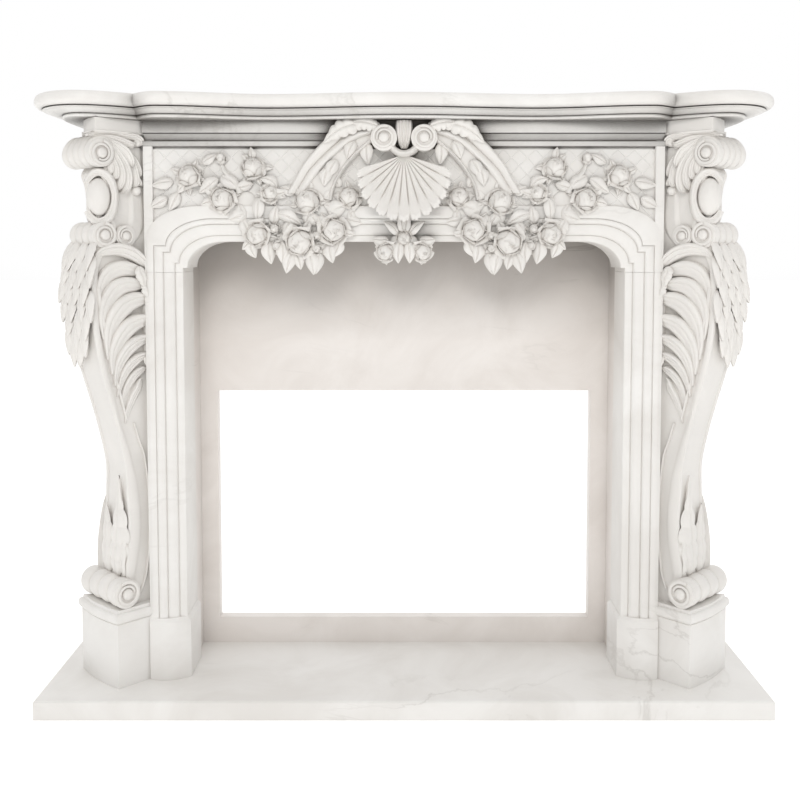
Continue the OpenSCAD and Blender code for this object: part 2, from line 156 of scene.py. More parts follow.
def sheet_between(one: Array, other: Array, heights: Array, root: float = -2.0) -> Array:
    """Moulded band between two curves: each ring crosses from one curve to the other with the
    section's heights, evenly spaced, and comes back along the root.

    Args:
        one, other: (n, 2) edge curves with the same number of points.
        heights: (m,) or (n, m) heights across the band.
        root: height of the hidden back.

    Returns:
        (n, 2 m, 3) rings of across, up and out.
    """
    h = np.atleast_2d(heights) * np.ones((len(one), 1))
    t = np.linspace(0, 1, h.shape[1])
    flat = one[:, None] * (1 - t)[None, :, None] + other[:, None] * t[None, :, None]
    front = np.concatenate([flat, h[..., None]], 2)
    back = np.concatenate([flat, np.full(flat.shape[:2] + (1,), root)], 2)[:, ::-1]
    return np.concatenate([front, back], 1)


def ribbon(path: Array, width: Array | float, height: Array | float, section: Array,
           root: float = -2.0) -> Array:
    """Band carried along a flat path: across by width, outwards by height.

    Args:
        path: (n, 2) middle line.
        width: half width along the path.
        height: greatest height along the path.
        section: (m, 2) share of the half width, share of the height.
        root: height of the hidden back.

    Returns:
        (n, 2 m, 3) rings.
    """
    n = len(path)
    w = np.broadcast_to(width, (n,))[:, None]
    h = np.broadcast_to(height, (n,))[:, None]
    side = normals_of(path)
    flat = path[:, None] + side[:, None] * (w * section[:, 0])[..., None]
    front = np.concatenate([flat, (h * section[:, 1])[..., None]], 2)
    back = np.concatenate([flat, np.full(flat.shape[:2] + (1,), root)], 2)[:, ::-1]
    return np.concatenate([front, back], 1)


# Sections: share of the half width, share of the height. The lobe's has two hollows either side
# of a middle ridge, and a lower far edge.
ROUNDED = np.array([(math.cos(a), math.sin(a)) for a in np.linspace(math.pi, 0, 9)])
FLAT_TOP = np.array([(-1, 0), (-1, 0.9), (-0.9, 0.97), (-0.7, 1), (0, 0.99), (0.7, 1), (0.9, 0.97),
                     (1, 0.9), (1, 0)])
LOBED = np.array([(-1, 0), (-1, 0.7), (-0.94, 0.86), (-0.8, 0.97), (-0.62, 1), (-0.42, 0.93), (-0.3, 0.84),
                  (-0.16, 0.88), (0.05, 0.84), (0.25, 0.72), (0.42, 0.66), (0.56, 0.7), (0.72, 0.66),
                  (0.9, 0.54), (1, 0.36), (1, 0)])
RING_MOULD = np.array([(-1, 0), (-1, 0.5), (-0.8, 0.86), (-0.5, 1), (-0.2, 0.96), (0.1, 0.8), (0.4, 0.72),
                       (0.7, 0.78), (0.9, 0.7), (1, 0.4), (1, 0)])


def lathe(profile: list[tuple[float, float]], count: int = 40) -> Array:
    """Round boss about the out direction: radius and height turned through a full circle.

    Args:
        profile: radius and height pairs from the rim to the middle.
        count: points round the circle, even.

    Returns:
        (n, count, 3) rings.
    """
    a = circle(count)
    p = np.asarray(profile, float)
    return np.stack([p[:, :1] * np.cos(a), p[:, :1] * np.sin(a), p[:, 1:] * np.ones_like(a)], 2)


def dome(radius: float, rise: float, base: float, root: float, steps: int, count: int,
         blunt: float = 1.0) -> Array:
    """Round boss on a short shaft: a quarter ellipse turned about the out direction.

    Args:
        radius, rise: half width, and height of the ellipse.
        base: height at which the ellipse starts.
        root: height of the hidden foot of the shaft.
        steps, count: points up the ellipse and round it.
        blunt: power of the cosine, under 1 for a flatter crown.

    Returns:
        (steps + 1, count, 3) rings.
    """
    a = np.linspace(0, math.pi / 2, steps)
    profile = np.stack([radius * np.cos(a) ** blunt + POLE, base + rise * np.sin(a)], 1)
    return lathe([(radius, root), *profile.tolist()], count)


def spiral(radius: float, eye: float, turns: float, start: float, count: int = 60) -> Array:
    """Flat spiral that winds from a radius in to the eye, its radius falling evenly with the turn.

    Args:
        radius, eye: outer and inner radius.
        turns: number of turns, negative to wind clockwise.
        start: angle of the outer end in degrees.
        count: number of points.

    Returns:
        (count, 2) points.
    """
    t = np.linspace(0, 1, count)
    r = radius + (eye - radius) * t**0.8
    a = math.radians(start) + 2 * math.pi * turns * t
    return np.stack([r * np.cos(a), r * np.sin(a)], 1)


def volute(radius: float, height: float, turns: float, start: float) -> list[Array]:
    """Scroll end: a dished disc, a rounded band that winds in on a spiral, and a round eye.

    Args:
        radius: outer radius.
        height: height of the band.
        turns: turns of the band, negative for clockwise.
        start: angle of the band's outer end in degrees.

    Returns:
        Three closed shells of across, up and out.
    """
    low = height - 0.13 * radius
    disc = lathe([(radius * 0.99, -2), (radius * 0.99, low), (radius * 0.95, low + 0.02 * radius),
                  (radius * 0.5, low - 0.02 * radius), (POLE, low)])
    band = radius * np.linspace(0.115, 0.075, 60)
    coil = ribbon(spiral(radius * 0.88, radius * 0.5, turns, start), band, height, FLAT_TOP)
    eye = dome(radius * 0.4, radius * 0.3, low, -2, 8, 40, 0.7)
    return [disc, coil, eye]


def leaf(length: float, width: float, lift: float, bow: float = 0.0, tip: float = 0.0, lobes: int = 0,
         thick: float = 7.0) -> Array:
    """Pointed leaf lying along the first axis: half width follows a skewed half sine, the two
    halves swell either side of a sunk midrib, and side veins ripple away from it.

    Args:
        length, width: overall size.
        lift: height of the leaf at its middle.
        bow: sideways bend of the midrib at half length.
        tip: extra height at the tip, negative to curl it down.
        lobes: number of lobes cut in each edge.
        thick: thickness at the midrib.

    Returns:
        (n, 2 m, 3) rings.
    """
    s = np.linspace(0, 1, 19 if lobes == 0 else 13 * lobes)[:, None]
    t = np.linspace(-1, 1, 11)[None, :]
    half = width / 2 * np.sin(math.pi * s**0.72) ** 0.85
    phase = np.abs(np.sin(math.pi * lobes * s)) ** 0.6 if lobes else 1.0
    half = half * (0.72 + 0.28 * phase)
    x = length * s + 0.12 * half * np.abs(t) - 0.1 * half
    y = half * t + bow * np.sin(math.pi * s)
    swell = 0.22 * half * np.abs(np.sin(math.pi * t)) ** 0.8
    rib = 1.7 * np.exp(-((t / 0.1) ** 2)) * np.sin(math.pi * s) ** 0.5
    vein = 0.5 * np.cos(2 * math.pi * (6 * s + 1.1 * np.abs(t))) * np.abs(t) * np.sin(math.pi * s)
    fold = 0.35 * half * (0.5 - np.abs(t))
    z = lift * np.sin(math.pi * (0.12 + 0.8 * s)) + swell + fold - rib + vein + tip * s**2
    front = np.stack([x * np.ones_like(t), y, z], 2)
    back = front.copy()
    back[..., 2] -= 0.8 + thick * (1 - t**2) * np.sin(math.pi * np.clip(s, 0.02, 0.98)) ** 0.5
    return np.concatenate([front, back[:, ::-1]], 1)


def lobe(path: Array, width: float, height: float, root: float = -3.0) -> Array:
    """Curved acanthus lobe: a hollow channel between two raised edges, carried along a path and
    tapering to a rolled tip.

    Args:
        path: (n, 2) middle line from the stem to the tip.
        width: greatest half width.
        height: greatest height.
        root: height of the hidden back.

    Returns:
        (n, 2 m, 3) rings.
    """
    s = np.linspace(0, 1, len(path))
    w = width * (0.1 + 0.9 * np.sin(math.pi * np.clip(s * 0.86 + 0.02, 0, 1)) ** 0.8)
    w = np.where(s > 0.86, w * np.sqrt(np.clip(1.02 - (s - 0.86) ** 2 / 0.14**2, 0.02, 1)), w)
    h = height * (0.45 + 0.55 * ease(s, 0, 0.75))
    return ribbon(path, w, h, LOBED, root)


# ---------- finishes ----------


def linear(code: str) -> tuple[float, float, float, float]:
    """sRGB hex colour as linear red, green, blue and alpha."""
    parts = [int(code[i:i + 2], 16) / 255 for i in (1, 3, 5)]
    return tuple(c / 12.92 if c <= 0.04045 else ((c + 0.055) / 1.055) ** 2.4 for c in parts) + (1.0,)


def add_node(tree: bpy.types.NodeTree, kind: str, values: dict | None = None, links: dict | None = None,
             **settings: object) -> bpy.types.Node:
    """Adds a shader node.

    Args:
        tree: node tree to add to.
        kind: Blender's name for the node type, without its ShaderNode prefix.
        values: value for each named input.
        links: output socket for each named input.
        settings: the node's own properties.

    Returns:
        The new node.
    """
    node = tree.nodes.new("ShaderNode" + kind)
    for name, value in settings.items():
        setattr(node, name, value)
    for name, value in (values or {}).items():
        node.inputs[name].default_value = value
    for name, socket in (links or {}).items():
        tree.links.new(socket, node.inputs[name])
    return node


def set_ramp(node: bpy.types.Node, stops: list[tuple[float, str]]) -> None:
    """Sets a colour ramp's stops from positions and hex colours.

    Args:
        node: colour ramp node.
        stops: position and hex colour of each stop, two or more.
    """
    ramp = node.color_ramp
    while len(ramp.elements) < len(stops):
        ramp.elements.new(0.5)
    for element, (place, code) in zip(ramp.elements, stops):
        element.position = place
        element.color = linear(code)


@dataclass(frozen=True)
class WhiteMarble:
    """White dolomitic marble, honed after carving: the eye sees a warm ivory body with soft clouds
    the width of a hand, a few thin grey veins that run askew, and a fine sugary grain.
    """

    name: str
    body: str = "#EAE8E5"
    cloud: str = "#E0DDD9"
    vein: str = "#A9A49D"
    # Colour of the painted shade laid into creases and recesses, and, on the lining, over its upper part.
    hollow: str = "#A9A097"
    roughness: float = 0.44
    cloud_mm: float = 260.0
    vein_mm: float = 620.0
    vein_strength: float = 0.3
    grain_mm: float = 2.0
    # Painted shade in creases and recesses: ambient occlusion reach, greatest tint, and the occlusion at
    # which the tint is full.
    hollow_shade_mm: float = 7.0
    hollow_shade_strength: float = 0.4
    hollow_shade_full: float = 0.25
    # Painted shade over room-facing faces, growing with height between two heights in millimetres.
    top_shade_strength: float = 0.0
    top_shade_z: tuple[float, float] = (850.0, 1270.0)
    lattice_mm: float = 0.0

    def lattice(self, tree: bpy.types.NodeTree, place: bpy.types.NodeSocket) -> bpy.types.NodeSocket:
        """Diamond lattice of shallow cut lines: two families of lines at half a right angle, each
        a narrow dip in a triangular wave of the distance along its own direction.

        Args:
            tree: material's node tree.
            place: Object coordinates.

        Returns:
            Height socket, 1 on the diamonds and 0 in the lines.
        """
        split = add_node(tree, "SeparateXYZ", links={"Vector": place})
        heights = []
        for operation in ("ADD", "SUBTRACT"):
            along = add_node(tree, "Math", links={0: split.outputs["X"], 1: split.outputs["Z"]},
                             operation=operation)
            wave = add_node(tree, "Math", {1: self.lattice_mm * MM / 2}, {0: along.outputs[0]},
                            operation="PINGPONG")
            cut = add_node(tree, "MapRange", {"From Min": 0.8 * MM, "From Max": 2.6 * MM},
                           {"Value": wave.outputs[0]})
            heights.append(cut.outputs[0])
        both = add_node(tree, "Math", links=dict(enumerate(heights)), operation="MINIMUM")
        return both.outputs[0]

    def smoke(self, tree: bpy.types.NodeTree, coords: bpy.types.Node) -> bpy.types.NodeSocket:
        """Painted shade that grows evenly with height, on faces that look into the room: it stands for the
        arch's shadow on the upper lining.

        Args:
            tree: material's node tree.
            coords: texture coordinate node.

        Returns:
            Strength socket.
        """
        place = add_node(tree, "SeparateXYZ", links={"Vector": coords.outputs["Object"]})
        low, high = self.top_shade_z
        rise = add_node(tree, "MapRange", {"From Min": low * MM, "From Max": high * MM,
                                           "To Max": self.top_shade_strength}, {"Value": place.outputs["Z"]})
        way = add_node(tree, "SeparateXYZ", links={"Vector": coords.outputs["Normal"]})
        forward = add_node(tree, "MapRange", {"From Min": 0.5, "From Max": 0.1}, {"Value": way.outputs["Y"]})
        front = add_node(tree, "Math", links={0: rise.outputs[0], 1: forward.outputs[0]},
                         operation="MULTIPLY")
        return front.outputs[0]

    def material(self) -> bpy.types.Material:
        """Builds the material.

        Returns:
            A node material that reads Object coordinates.
        """
        mat = bpy.data.materials.new(self.name)
        mat.use_nodes = True
        tree = mat.node_tree
        shader = tree.nodes["Principled BSDF"]
        coords = add_node(tree, "TexCoord")
        place = coords.outputs["Object"]
        clouds = add_node(tree, "TexNoise", {"Scale": 1 / (self.cloud_mm * MM), "Detail": 5.0,
                                             "Roughness": 0.6, "Distortion": 0.8}, {"Vector": place})
        body = add_node(tree, "ValToRGB", links={"Fac": clouds.outputs["Fac"]})
        set_ramp(body, [(0.36, self.cloud), (0.62, self.body)])
        skew = add_node(tree, "Mapping", {"Rotation": (0.4, 0.55, 0.3), "Scale": (1.0, 1.0, 2.1)},
                        {"Vector": place})
        run = add_node(tree, "TexNoise", {"Scale": 1 / (self.vein_mm * MM), "Detail": 8.0,
                                          "Roughness": 0.56, "Distortion": 1.1}, {"Vector": skew.outputs[0]})
        vein = add_node(tree, "ValToRGB", links={"Fac": run.outputs["Fac"]})
        set_ramp(vein, [(0.487, "#000000"), (0.5, "#FFFFFF"), (0.513, "#000000")])
        patch = add_node(tree, "TexNoise", {"Scale": 2.4, "Detail": 2.0}, {"Vector": place})
        sparse = add_node(tree, "MapRange", {"From Min": 0.5, "From Max": 0.68, "To Max": self.vein_strength},
                          {"Value": patch.outputs["Fac"]})
        share = add_node(tree, "Math", links={0: vein.outputs["Color"], 1: sparse.outputs[0]},
                         operation="MULTIPLY")
        veined = add_node(tree, "MixRGB", {"Color2": linear(self.vein)},
                          {"Fac": share.outputs[0], "Color1": body.outputs["Color"]})
        # Painted shade: where ambient occlusion finds a crease or recess closed in, the colour is tinted
        # towards the hollow colour.
        shade = add_node(tree, "AmbientOcclusion", {"Distance": self.hollow_shade_mm * MM}, samples=6)
        hollow_shade_mask = add_node(tree, "MapRange", {"From Min": 0.95, "From Max": self.hollow_shade_full,
                                           "To Max": self.hollow_shade_strength},
                        {"Value": shade.outputs["AO"]})
        colour = add_node(tree, "MixRGB", {"Color2": linear(self.hollow)},
                          {"Fac": hollow_shade_mask.outputs[0], "Color1": veined.outputs["Color"]})
        # Painted shade: the upper lining is tinted towards the hollow colour, standing for the arch's shadow.
        if self.top_shade_strength:
            shadow = self.smoke(tree, coords)
            colour = add_node(tree, "MixRGB", {"Color2": linear(self.hollow)},
                              {"Fac": shadow, "Color1": colour.outputs["Color"]})
        tree.links.new(colour.outputs["Color"], shader.inputs["Base Color"])
        grain = add_node(tree, "TexNoise", {"Scale": 1 / (self.grain_mm * MM), "Detail": 3.0},
                         {"Vector": place})
        rough = add_node(tree, "MapRange", {"To Min": self.roughness - 0.06, "To Max": self.roughness + 0.08},
                         {"Value": clouds.outputs["Fac"]})
        tree.links.new(rough.outputs[0], shader.inputs["Roughness"])
        bump = add_node(tree, "Bump", {"Strength": 0.12, "Distance": 0.4 * MM},
                        {"Height": grain.outputs["Fac"]})
        if self.lattice_mm:
            bump = add_node(tree, "Bump", {"Strength": 0.8, "Distance": 0.9 * MM},
                            {"Height": self.lattice(tree, place), "Normal": bump.outputs[0]})
        tree.links.new(bump.outputs[0], shader.inputs["Normal"])
        shader.inputs["IOR"].default_value = 1.49
        shader.inputs["Specular IOR Level"].default_value = 0.4
        return mat


@dataclass
class Finishes:
    """The mantel's finishes, made once and shared."""

    slab: bpy.types.Material
    plain: bpy.types.Material
    carved: bpy.types.Material
    field: bpy.types.Material
    recess: bpy.types.Material

    @classmethod
    def make(cls) -> "Finishes":
        """Builds every finish.

        Returns:
            The finishes, one material each.
        """
        # Shelf and cornice: polished edges, and a dark painted shade far in under the mouldings, where the
        # shelf's shadow falls.
        slab = WhiteMarble("honed_white_marble", hollow="#3F3933", hollow_shade_mm=240.0, hollow_shade_strength=1.0,
                           hollow_shade_full=0.45)
        # Jambs, plinths, returns and hearth: plain honed blocks, with faint painted shade in their creases.
        plain = WhiteMarble("honed_white_marble_block", hollow_shade_strength=0.15)
        # Carving: a little darker than the slabs, with few veins, and painted shade in its hollows.
        carved = WhiteMarble("carved_white_marble", body="#E6E3DF", vein_strength=0.12,
                             hollow_shade_strength=0.28)
        # Field of the frieze, cut with a shallow diamond lattice, with painted shade in its hollows.
        field_stone = WhiteMarble("latticed_white_marble", vein_strength=0.12, hollow_shade_strength=0.3,
                                  lattice_mm=39.0)
        # Lining of the recess: more veins, faint painted shade in its corners, and painted shade towards the
        # top, where the arch's shadow falls.
        recess = WhiteMarble("veined_white_marble_lining", body="#EDE8E4", cloud="#E3DDD8",
                             vein_strength=0.6, hollow="#665D54", hollow_shade_mm=120.0, hollow_shade_strength=0.12,
                             top_shade_strength=0.95)
        return cls(*(stone.material() for stone in (slab, plain, carved, field_stone, recess)))


# ---------- gathering and placing ----------


@dataclass
class Stone:
    """Closed shells of one piece of stone, gathered into one mesh."""

    name: str
    grids: list[Array] = field(default_factory=list)
    quads: list[Array] = field(default_factory=list)
    count: int = 0

    def add(self, rings: Array) -> None:
        """Adds a closed shell: each ring is joined to the next, and each end is closed by a ladder
        of faces from its first half to its second half reversed.

        Args:
            rings: (n, m, 3) points in millimetres, m even.
        """
        n, m, _ = rings.shape
        index = self.count + np.arange(n * m).reshape(n, m)
        near, far = index[:-1], index[1:]
        self.quads.append(np.stack([near, far, np.roll(far, -1, 1), np.roll(near, -1, 1)], -1).reshape(-1, 4))
        for row in (index[0], index[-1]):
            a, b = row[:m // 2], row[::-1][:m // 2]
            self.quads.append(np.stack([a[:-1], a[1:], b[1:], b[:-1]], -1))
        self.grids.append(rings.reshape(-1, 3))
        self.count += n * m

    def add_pair(self, rings: Array) -> None:
        """Adds a closed shell and its mirror image across the middle."""
        self.add(rings)
        self.add(rings * np.array([-1, 1, 1]))

    def place(self, finish: bpy.types.Material, slot: str, nodes: tuple[str, ...] = ()) -> None:
        """Makes the mesh, welds its poles, points its faces outwards and puts it in the frame.

        Args:
            finish: material of the whole piece.
            slot: not used.
            nodes: CAD nodes that this piece stands for.
        """
        points = np.concatenate(self.grids) * MM
        mesh = bpy.data.meshes.new(self.name)
        mesh.from_pydata(points, [], np.concatenate(self.quads).tolist())
        work = bmesh.new()
        work.from_mesh(mesh)
        bmesh.ops.remove_doubles(work, verts=work.verts, dist=WELD_M)
        bmesh.ops.dissolve_degenerate(work, dist=WELD_M / 2, edges=work.edges)
        bmesh.ops.recalc_face_normals(work, faces=work.faces)
        work.to_mesh(mesh)
        work.free()
        mesh.polygons.foreach_set("use_smooth", np.ones(len(mesh.polygons), bool))
        mesh.set_sharp_from_angle(angle=math.radians(SHARP_DEGREES))
        mesh.materials.append(finish)
        piece = bpy.data.objects.new(self.name, mesh)
        bpy.context.scene.collection.objects.link(piece)
        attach(piece, "root")
        if nodes:
            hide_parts(*nodes)
        LOG.info("%s: %d faces", self.name, len(mesh.polygons))


def dress_node(node: bpy.types.Object, finish: bpy.types.Material) -> None:
    """Gives a CAD node that stays in view its finish.

    Args:
        node: the CAD node.
        finish: its material.
    """
    node.data.materials.clear()
    node.data.materials.append(finish)
    LOG.info("%s: dressed", node.name)


# ---------- the mantel's own pieces ----------


@dataclass(frozen=True)
class Lines:
    """The mantel's main lines, in millimetres: where pieces meet."""

    hearth_top: float = 45.0
    seam_x: float = 616.5
    arris_x: float = 528.5
    seam_z: float = 1035.0
    crown_z: float = 1108.0
    soffit_z: float = 1391.0
    slab_z: float = 1416.0
    top_z: float = 1447.0
    face_y: float = -62.0
    field_y: float = -56.0
    jamb_back_y: float = 66.0
    wall_y: float = 190.0


LINES = Lines()


def on_field(grid: Array, x: float = 0.0, z: float = 0.0, proud: float = 0.0) -> Array:
    """Carving drawn flat, set on the frieze's sunk field.

    Args:
        grid: (..., 3) points: across, up and out.
        x, z: place of its origin.
        proud: how far its origin stands out of the field.

    Returns:
        Points in the mantel's own frame.
    """
    return np.stack([x + grid[..., 0], LINES.field_y - proud - grid[..., 2], z + grid[..., 1]], -1)


@dataclass
class Shelf:
    """Serpentine shelf: a bullnosed slab over a bed moulding of bead, cove and fillet."""

    bow_y: float = -157.0
    hollow_y: float = -124.0
    wing_y: float = -170.0
    notch_y: float = -132.0
    bay_y: float = -186.0
    hollow_x: float = 310.0
    wing_x: float = 563.5
    notch_x: float = 621.5
    bay_x: float = 742.0
    end_x: float = 870.0
    corner_depth: float = 148.0
    nose_share: float = 0.72
    bed: tuple[tuple[float, float, float], ...] = (
        (1391.0, 39.0, 69.0), (1391.6, 36.6, 66.0), (1393.4, 34.2, 62.0), (1396.0, 33.4, 60.5),
        (1398.2, 34.0, 61.0), (1399.0, 35.6, 62.0), (1399.8, 35.6, 61.5), (1400.4, 33.0, 58.0),
        (1402.0, 29.8, 50.0), (1404.2, 26.6, 41.0), (1406.6, 23.4, 33.0), (1409.0, 20.4, 27.0),
        (1411.2, 18.2, 22.5), (1411.6, 15.2, 18.0), (1413.0, 13.8, 15.5), (1414.4, 14.2, 15.5),
        (1415.2, 16.0, 17.0), (1415.4, 20.0, 20.0), (1416.6, 20.0, 20.0))

    def nose(self, set_y: float, set_x: float) -> Array:
        """Right half of the nose line, from the middle to the wall: half cosines for the bow and the
        hollow, quarter waves into the notch, and a quarter ellipse round the end.

        Args:
            set_y, set_x: how far the line is drawn back from the front and from the ends.

        Returns:
            (n, 2) points, across and depth.
        """
        t = np.linspace(0, 1, 31)[:-1]
        half = (1 - np.cos(math.pi * t)) / 2
        quarter = t * math.pi / 2
        end = self.end_x - set_x
        spans = [
            (self.hollow_x * t, self.bow_y + (self.hollow_y - self.bow_y) * half),
            (self.hollow_x + (self.wing_x - self.hollow_x) * t,
             self.hollow_y + (self.wing_y - self.hollow_y) * half),
            (self.wing_x + (self.notch_x - self.wing_x) * t,
             self.notch_y + (self.wing_y - self.notch_y) * np.cos(quarter)),
            (self.notch_x + (self.bay_x - self.notch_x) * t,
             self.notch_y + (self.bay_y - self.notch_y) * np.sin(quarter)),
            (self.bay_x + (end - self.bay_x) * np.sin(quarter),
             self.bay_y + self.corner_depth * (1 - np.cos(quarter))),
        ]
        line = np.concatenate([np.stack(s, 1) for s in spans])
        line[:, 1] += set_y
        side_y = np.linspace(self.bay_y + self.corner_depth + set_y, LINES.wall_y, 6)
        return np.concatenate([line, np.stack([np.full(6, end), side_y], 1)])

    def ring(self, z: float, set_y: float, set_x: float) -> Array:
        """Whole outline at one height, front line then back line.

        Args:
            z: height of the ring.
            set_y, set_x: how far it is drawn back from the front and from the ends.

        Returns:
            (m, 3) points.
        """
        half = self.nose(set_y, set_x)
        front = np.concatenate([half[::-1] * (-1, 1), half[1:]])
        back = np.stack([front[::-1, 0], np.full(len(front), LINES.wall_y)], 1)
        return raised(np.concatenate([front, back]), z)

    def build(self, finishes: Finishes) -> None:
        """Carries the edge profile round the serpentine outline and dresses the shelf.

        Args:
            finishes: the mantel's materials.
        """
        radius = (LINES.top_z - LINES.slab_z) / 2
        angles = np.linspace(-math.pi / 2, math.pi / 2, 17)
        back = radius * self.nose_share * (1 - np.cos(angles))
        slab = zip(LINES.slab_z + radius * (1 + np.sin(angles)), back, back)
        stone = Stone("shelf_stone")
        stone.add(np.stack([self.ring(*p) for p in (*self.bed, *slab)]))
        stone.place(finishes.slab, "marble_slab", ("shelf",))


@dataclass
class Moulding:
    """Jamb and arch moulding: one section carried up the jambs and round the shouldered arch.

    The section is a list of places and depths. A place counts moulding lines outwards from the
    opening's arris, 0 to 4, and a depth is the distance behind the face.
    """

    lines: tuple[tuple[float, ...], ...] = (
        (0, -10, 10, 0, 88), (19, 9, 22, 15, 94), (45, 28, 49, 42, 104), (67, 38, 64, 55, 114),
        (84, 84, 78, 84, 125))
    section: tuple[tuple[float, float], ...] = (
        (0.0, 14.5), (0.03, 13.2), (0.1, 12.4), (0.5, 11.8), (0.88, 11.2), (0.95, 12.4), (0.985, 12.6),
        (1.0, 8.5), (1.05, 6.4), (1.2, 4.2), (1.4, 2.4), (1.6, 1.4), (1.8, 1.2), (1.9, 1.6), (1.95, 3.4),
        (1.985, 3.4),
        (2.0, -0.6), (2.07, -2.2), (2.25, -3.8), (2.5, -4.8), (2.75, -4.4), (2.88, -3.2), (2.94, -0.4),
        (2.985, -0.4), (3.0, -3.0), (3.1, -3.8), (3.5, -4.0), (3.92, -3.6), (4.0, -2.6))

    def at_places(self) -> Array:
        """Moulding line numbers for every point of the section, by straight interpolation.

        Returns:
            (m, 5) distance out on the jamb and on the arch, heights over the seam and over the crown,
            and reach of the bend.
        """
        places = np.array([p for p, _ in self.section])
        table = np.array(self.lines, float)
        return np.stack([np.interp(places, range(5), table[:, k]) for k in range(5)], 1)

    def arch_ring(self) -> Array:
        """Right half of the arch from its seam to the middle: each line goes up, in along its
        shoulder, up a quarter ellipse and level to the middle.

        Returns:
            (n, m, 3) points of the moulded face.
        """
        out, inn, foot, top, bend = self.at_places().T
        jamb_x = LINES.arris_x + out
        arch_x = LINES.arris_x + inn
        shoulder = LINES.seam_z + foot
        crown = LINES.crown_z + top
        a = np.linspace(0, math.pi / 2, 28)[:, None]
        level = np.linspace(0, 1, 5)[1:, None]
        x = np.concatenate([jamb_x[None], jamb_x[None], arch_x[None] - bend * (1 - np.cos(a)),
                            (arch_x - bend) * (1 - level)])
        z = np.concatenate([np.full((1, len(out)), LINES.seam_z), shoulder[None],
                            shoulder + (crown - shoulder) * np.sin(a), crown * np.ones_like(level)])
        y = LINES.face_y + np.array([d for _, d in self.section]) * np.ones_like(x)
        return np.stack([x, y, z], 2)

    def closed(self, face: Array, back_y: float) -> Array:
        """Rings that go across the moulded face and come back along a flat back.

        Args:
            face: (n, m, 3) points of the face.
            back_y: depth of the back.

        Returns:
            (n, 2 m, 3) rings.
        """
        back = face[:, ::-1].copy()
        back[..., 1] = back_y
        return np.concatenate([face, back], 1)

    def jamb_face(self, low: float, high: float) -> Array:
        """Two rows of the right jamb's face at two heights, run out flat to the console seam.

        Args:
            low, high: the two heights.

        Returns:
            (2, m + 1, 3) points.
        """
        out = self.at_places()[:, 0] + LINES.arris_x
        x = np.append(out, LINES.seam_x)
        y = LINES.face_y + np.append([d for _, d in self.section], -2.0)
        return np.stack([np.stack([x, y, np.full(len(x), z)], 1) for z in (low, high)])


@dataclass
class Jambs:
    """Moulded jambs on bowed plinths with chamfered tops."""

    foot_z: float = 195.0
    proud: float = 8.0
    chamfer: float = 8.0
    splay: float = 18.0
    bow: float = 14.0
    moulding: Moulding = field(default_factory=Moulding)

    def plinth_plan(self, grow: float) -> Array:
        """Right plinth's plan: straight back to the jamb's back, and a front that leans forward from
        the opening to the console and bows by a half sine on the way.

        Args:
            grow: how far the plan stands out from the jamb's own.

        Returns:
            (n, 2) points, front then back.
        """
        t = np.linspace(0, 1, 25)
        left = LINES.arris_x - grow
        x = left + (LINES.seam_x - left) * t
        y = LINES.face_y - grow + self.splay * (1 - t) - self.bow * np.sin(math.pi * t)
        front = np.stack([x, y], 1)
        back = np.stack([x[::-1], np.full(len(t), LINES.jamb_back_y)], 1)
        return np.concatenate([front, back])

    def build(self, finishes: Finishes) -> None:
        """Builds and dresses both jambs and both plinths.

        Args:
            finishes: the mantel's materials.
        """
        shaft = self.moulding.closed(self.moulding.jamb_face(self.foot_z - 6, LINES.seam_z - 0.5),
                                     LINES.jamb_back_y)
        shoulder = self.foot_z - self.chamfer
        steps = [(LINES.hearth_top, 0), (LINES.hearth_top + 1, 0), (shoulder, 0), (shoulder + 0.6, 0.2),
                 (self.foot_z - 0.6, self.chamfer - 1.2), (self.foot_z, self.chamfer - 1)]
        block = np.stack([raised(self.plinth_plan(self.proud - back), z) for z, back in steps])
        for side in Side:
            flip = np.array([side.value, 1, 1])
            for name, grid in (("jamb", shaft), ("jamb_plinth", block)):
                stone = Stone(f"{name}_stone_{side.word}")
                stone.add(grid * flip)
                stone.place(finishes.plain, "marble_slab", (f"{name}_{side.word}",))


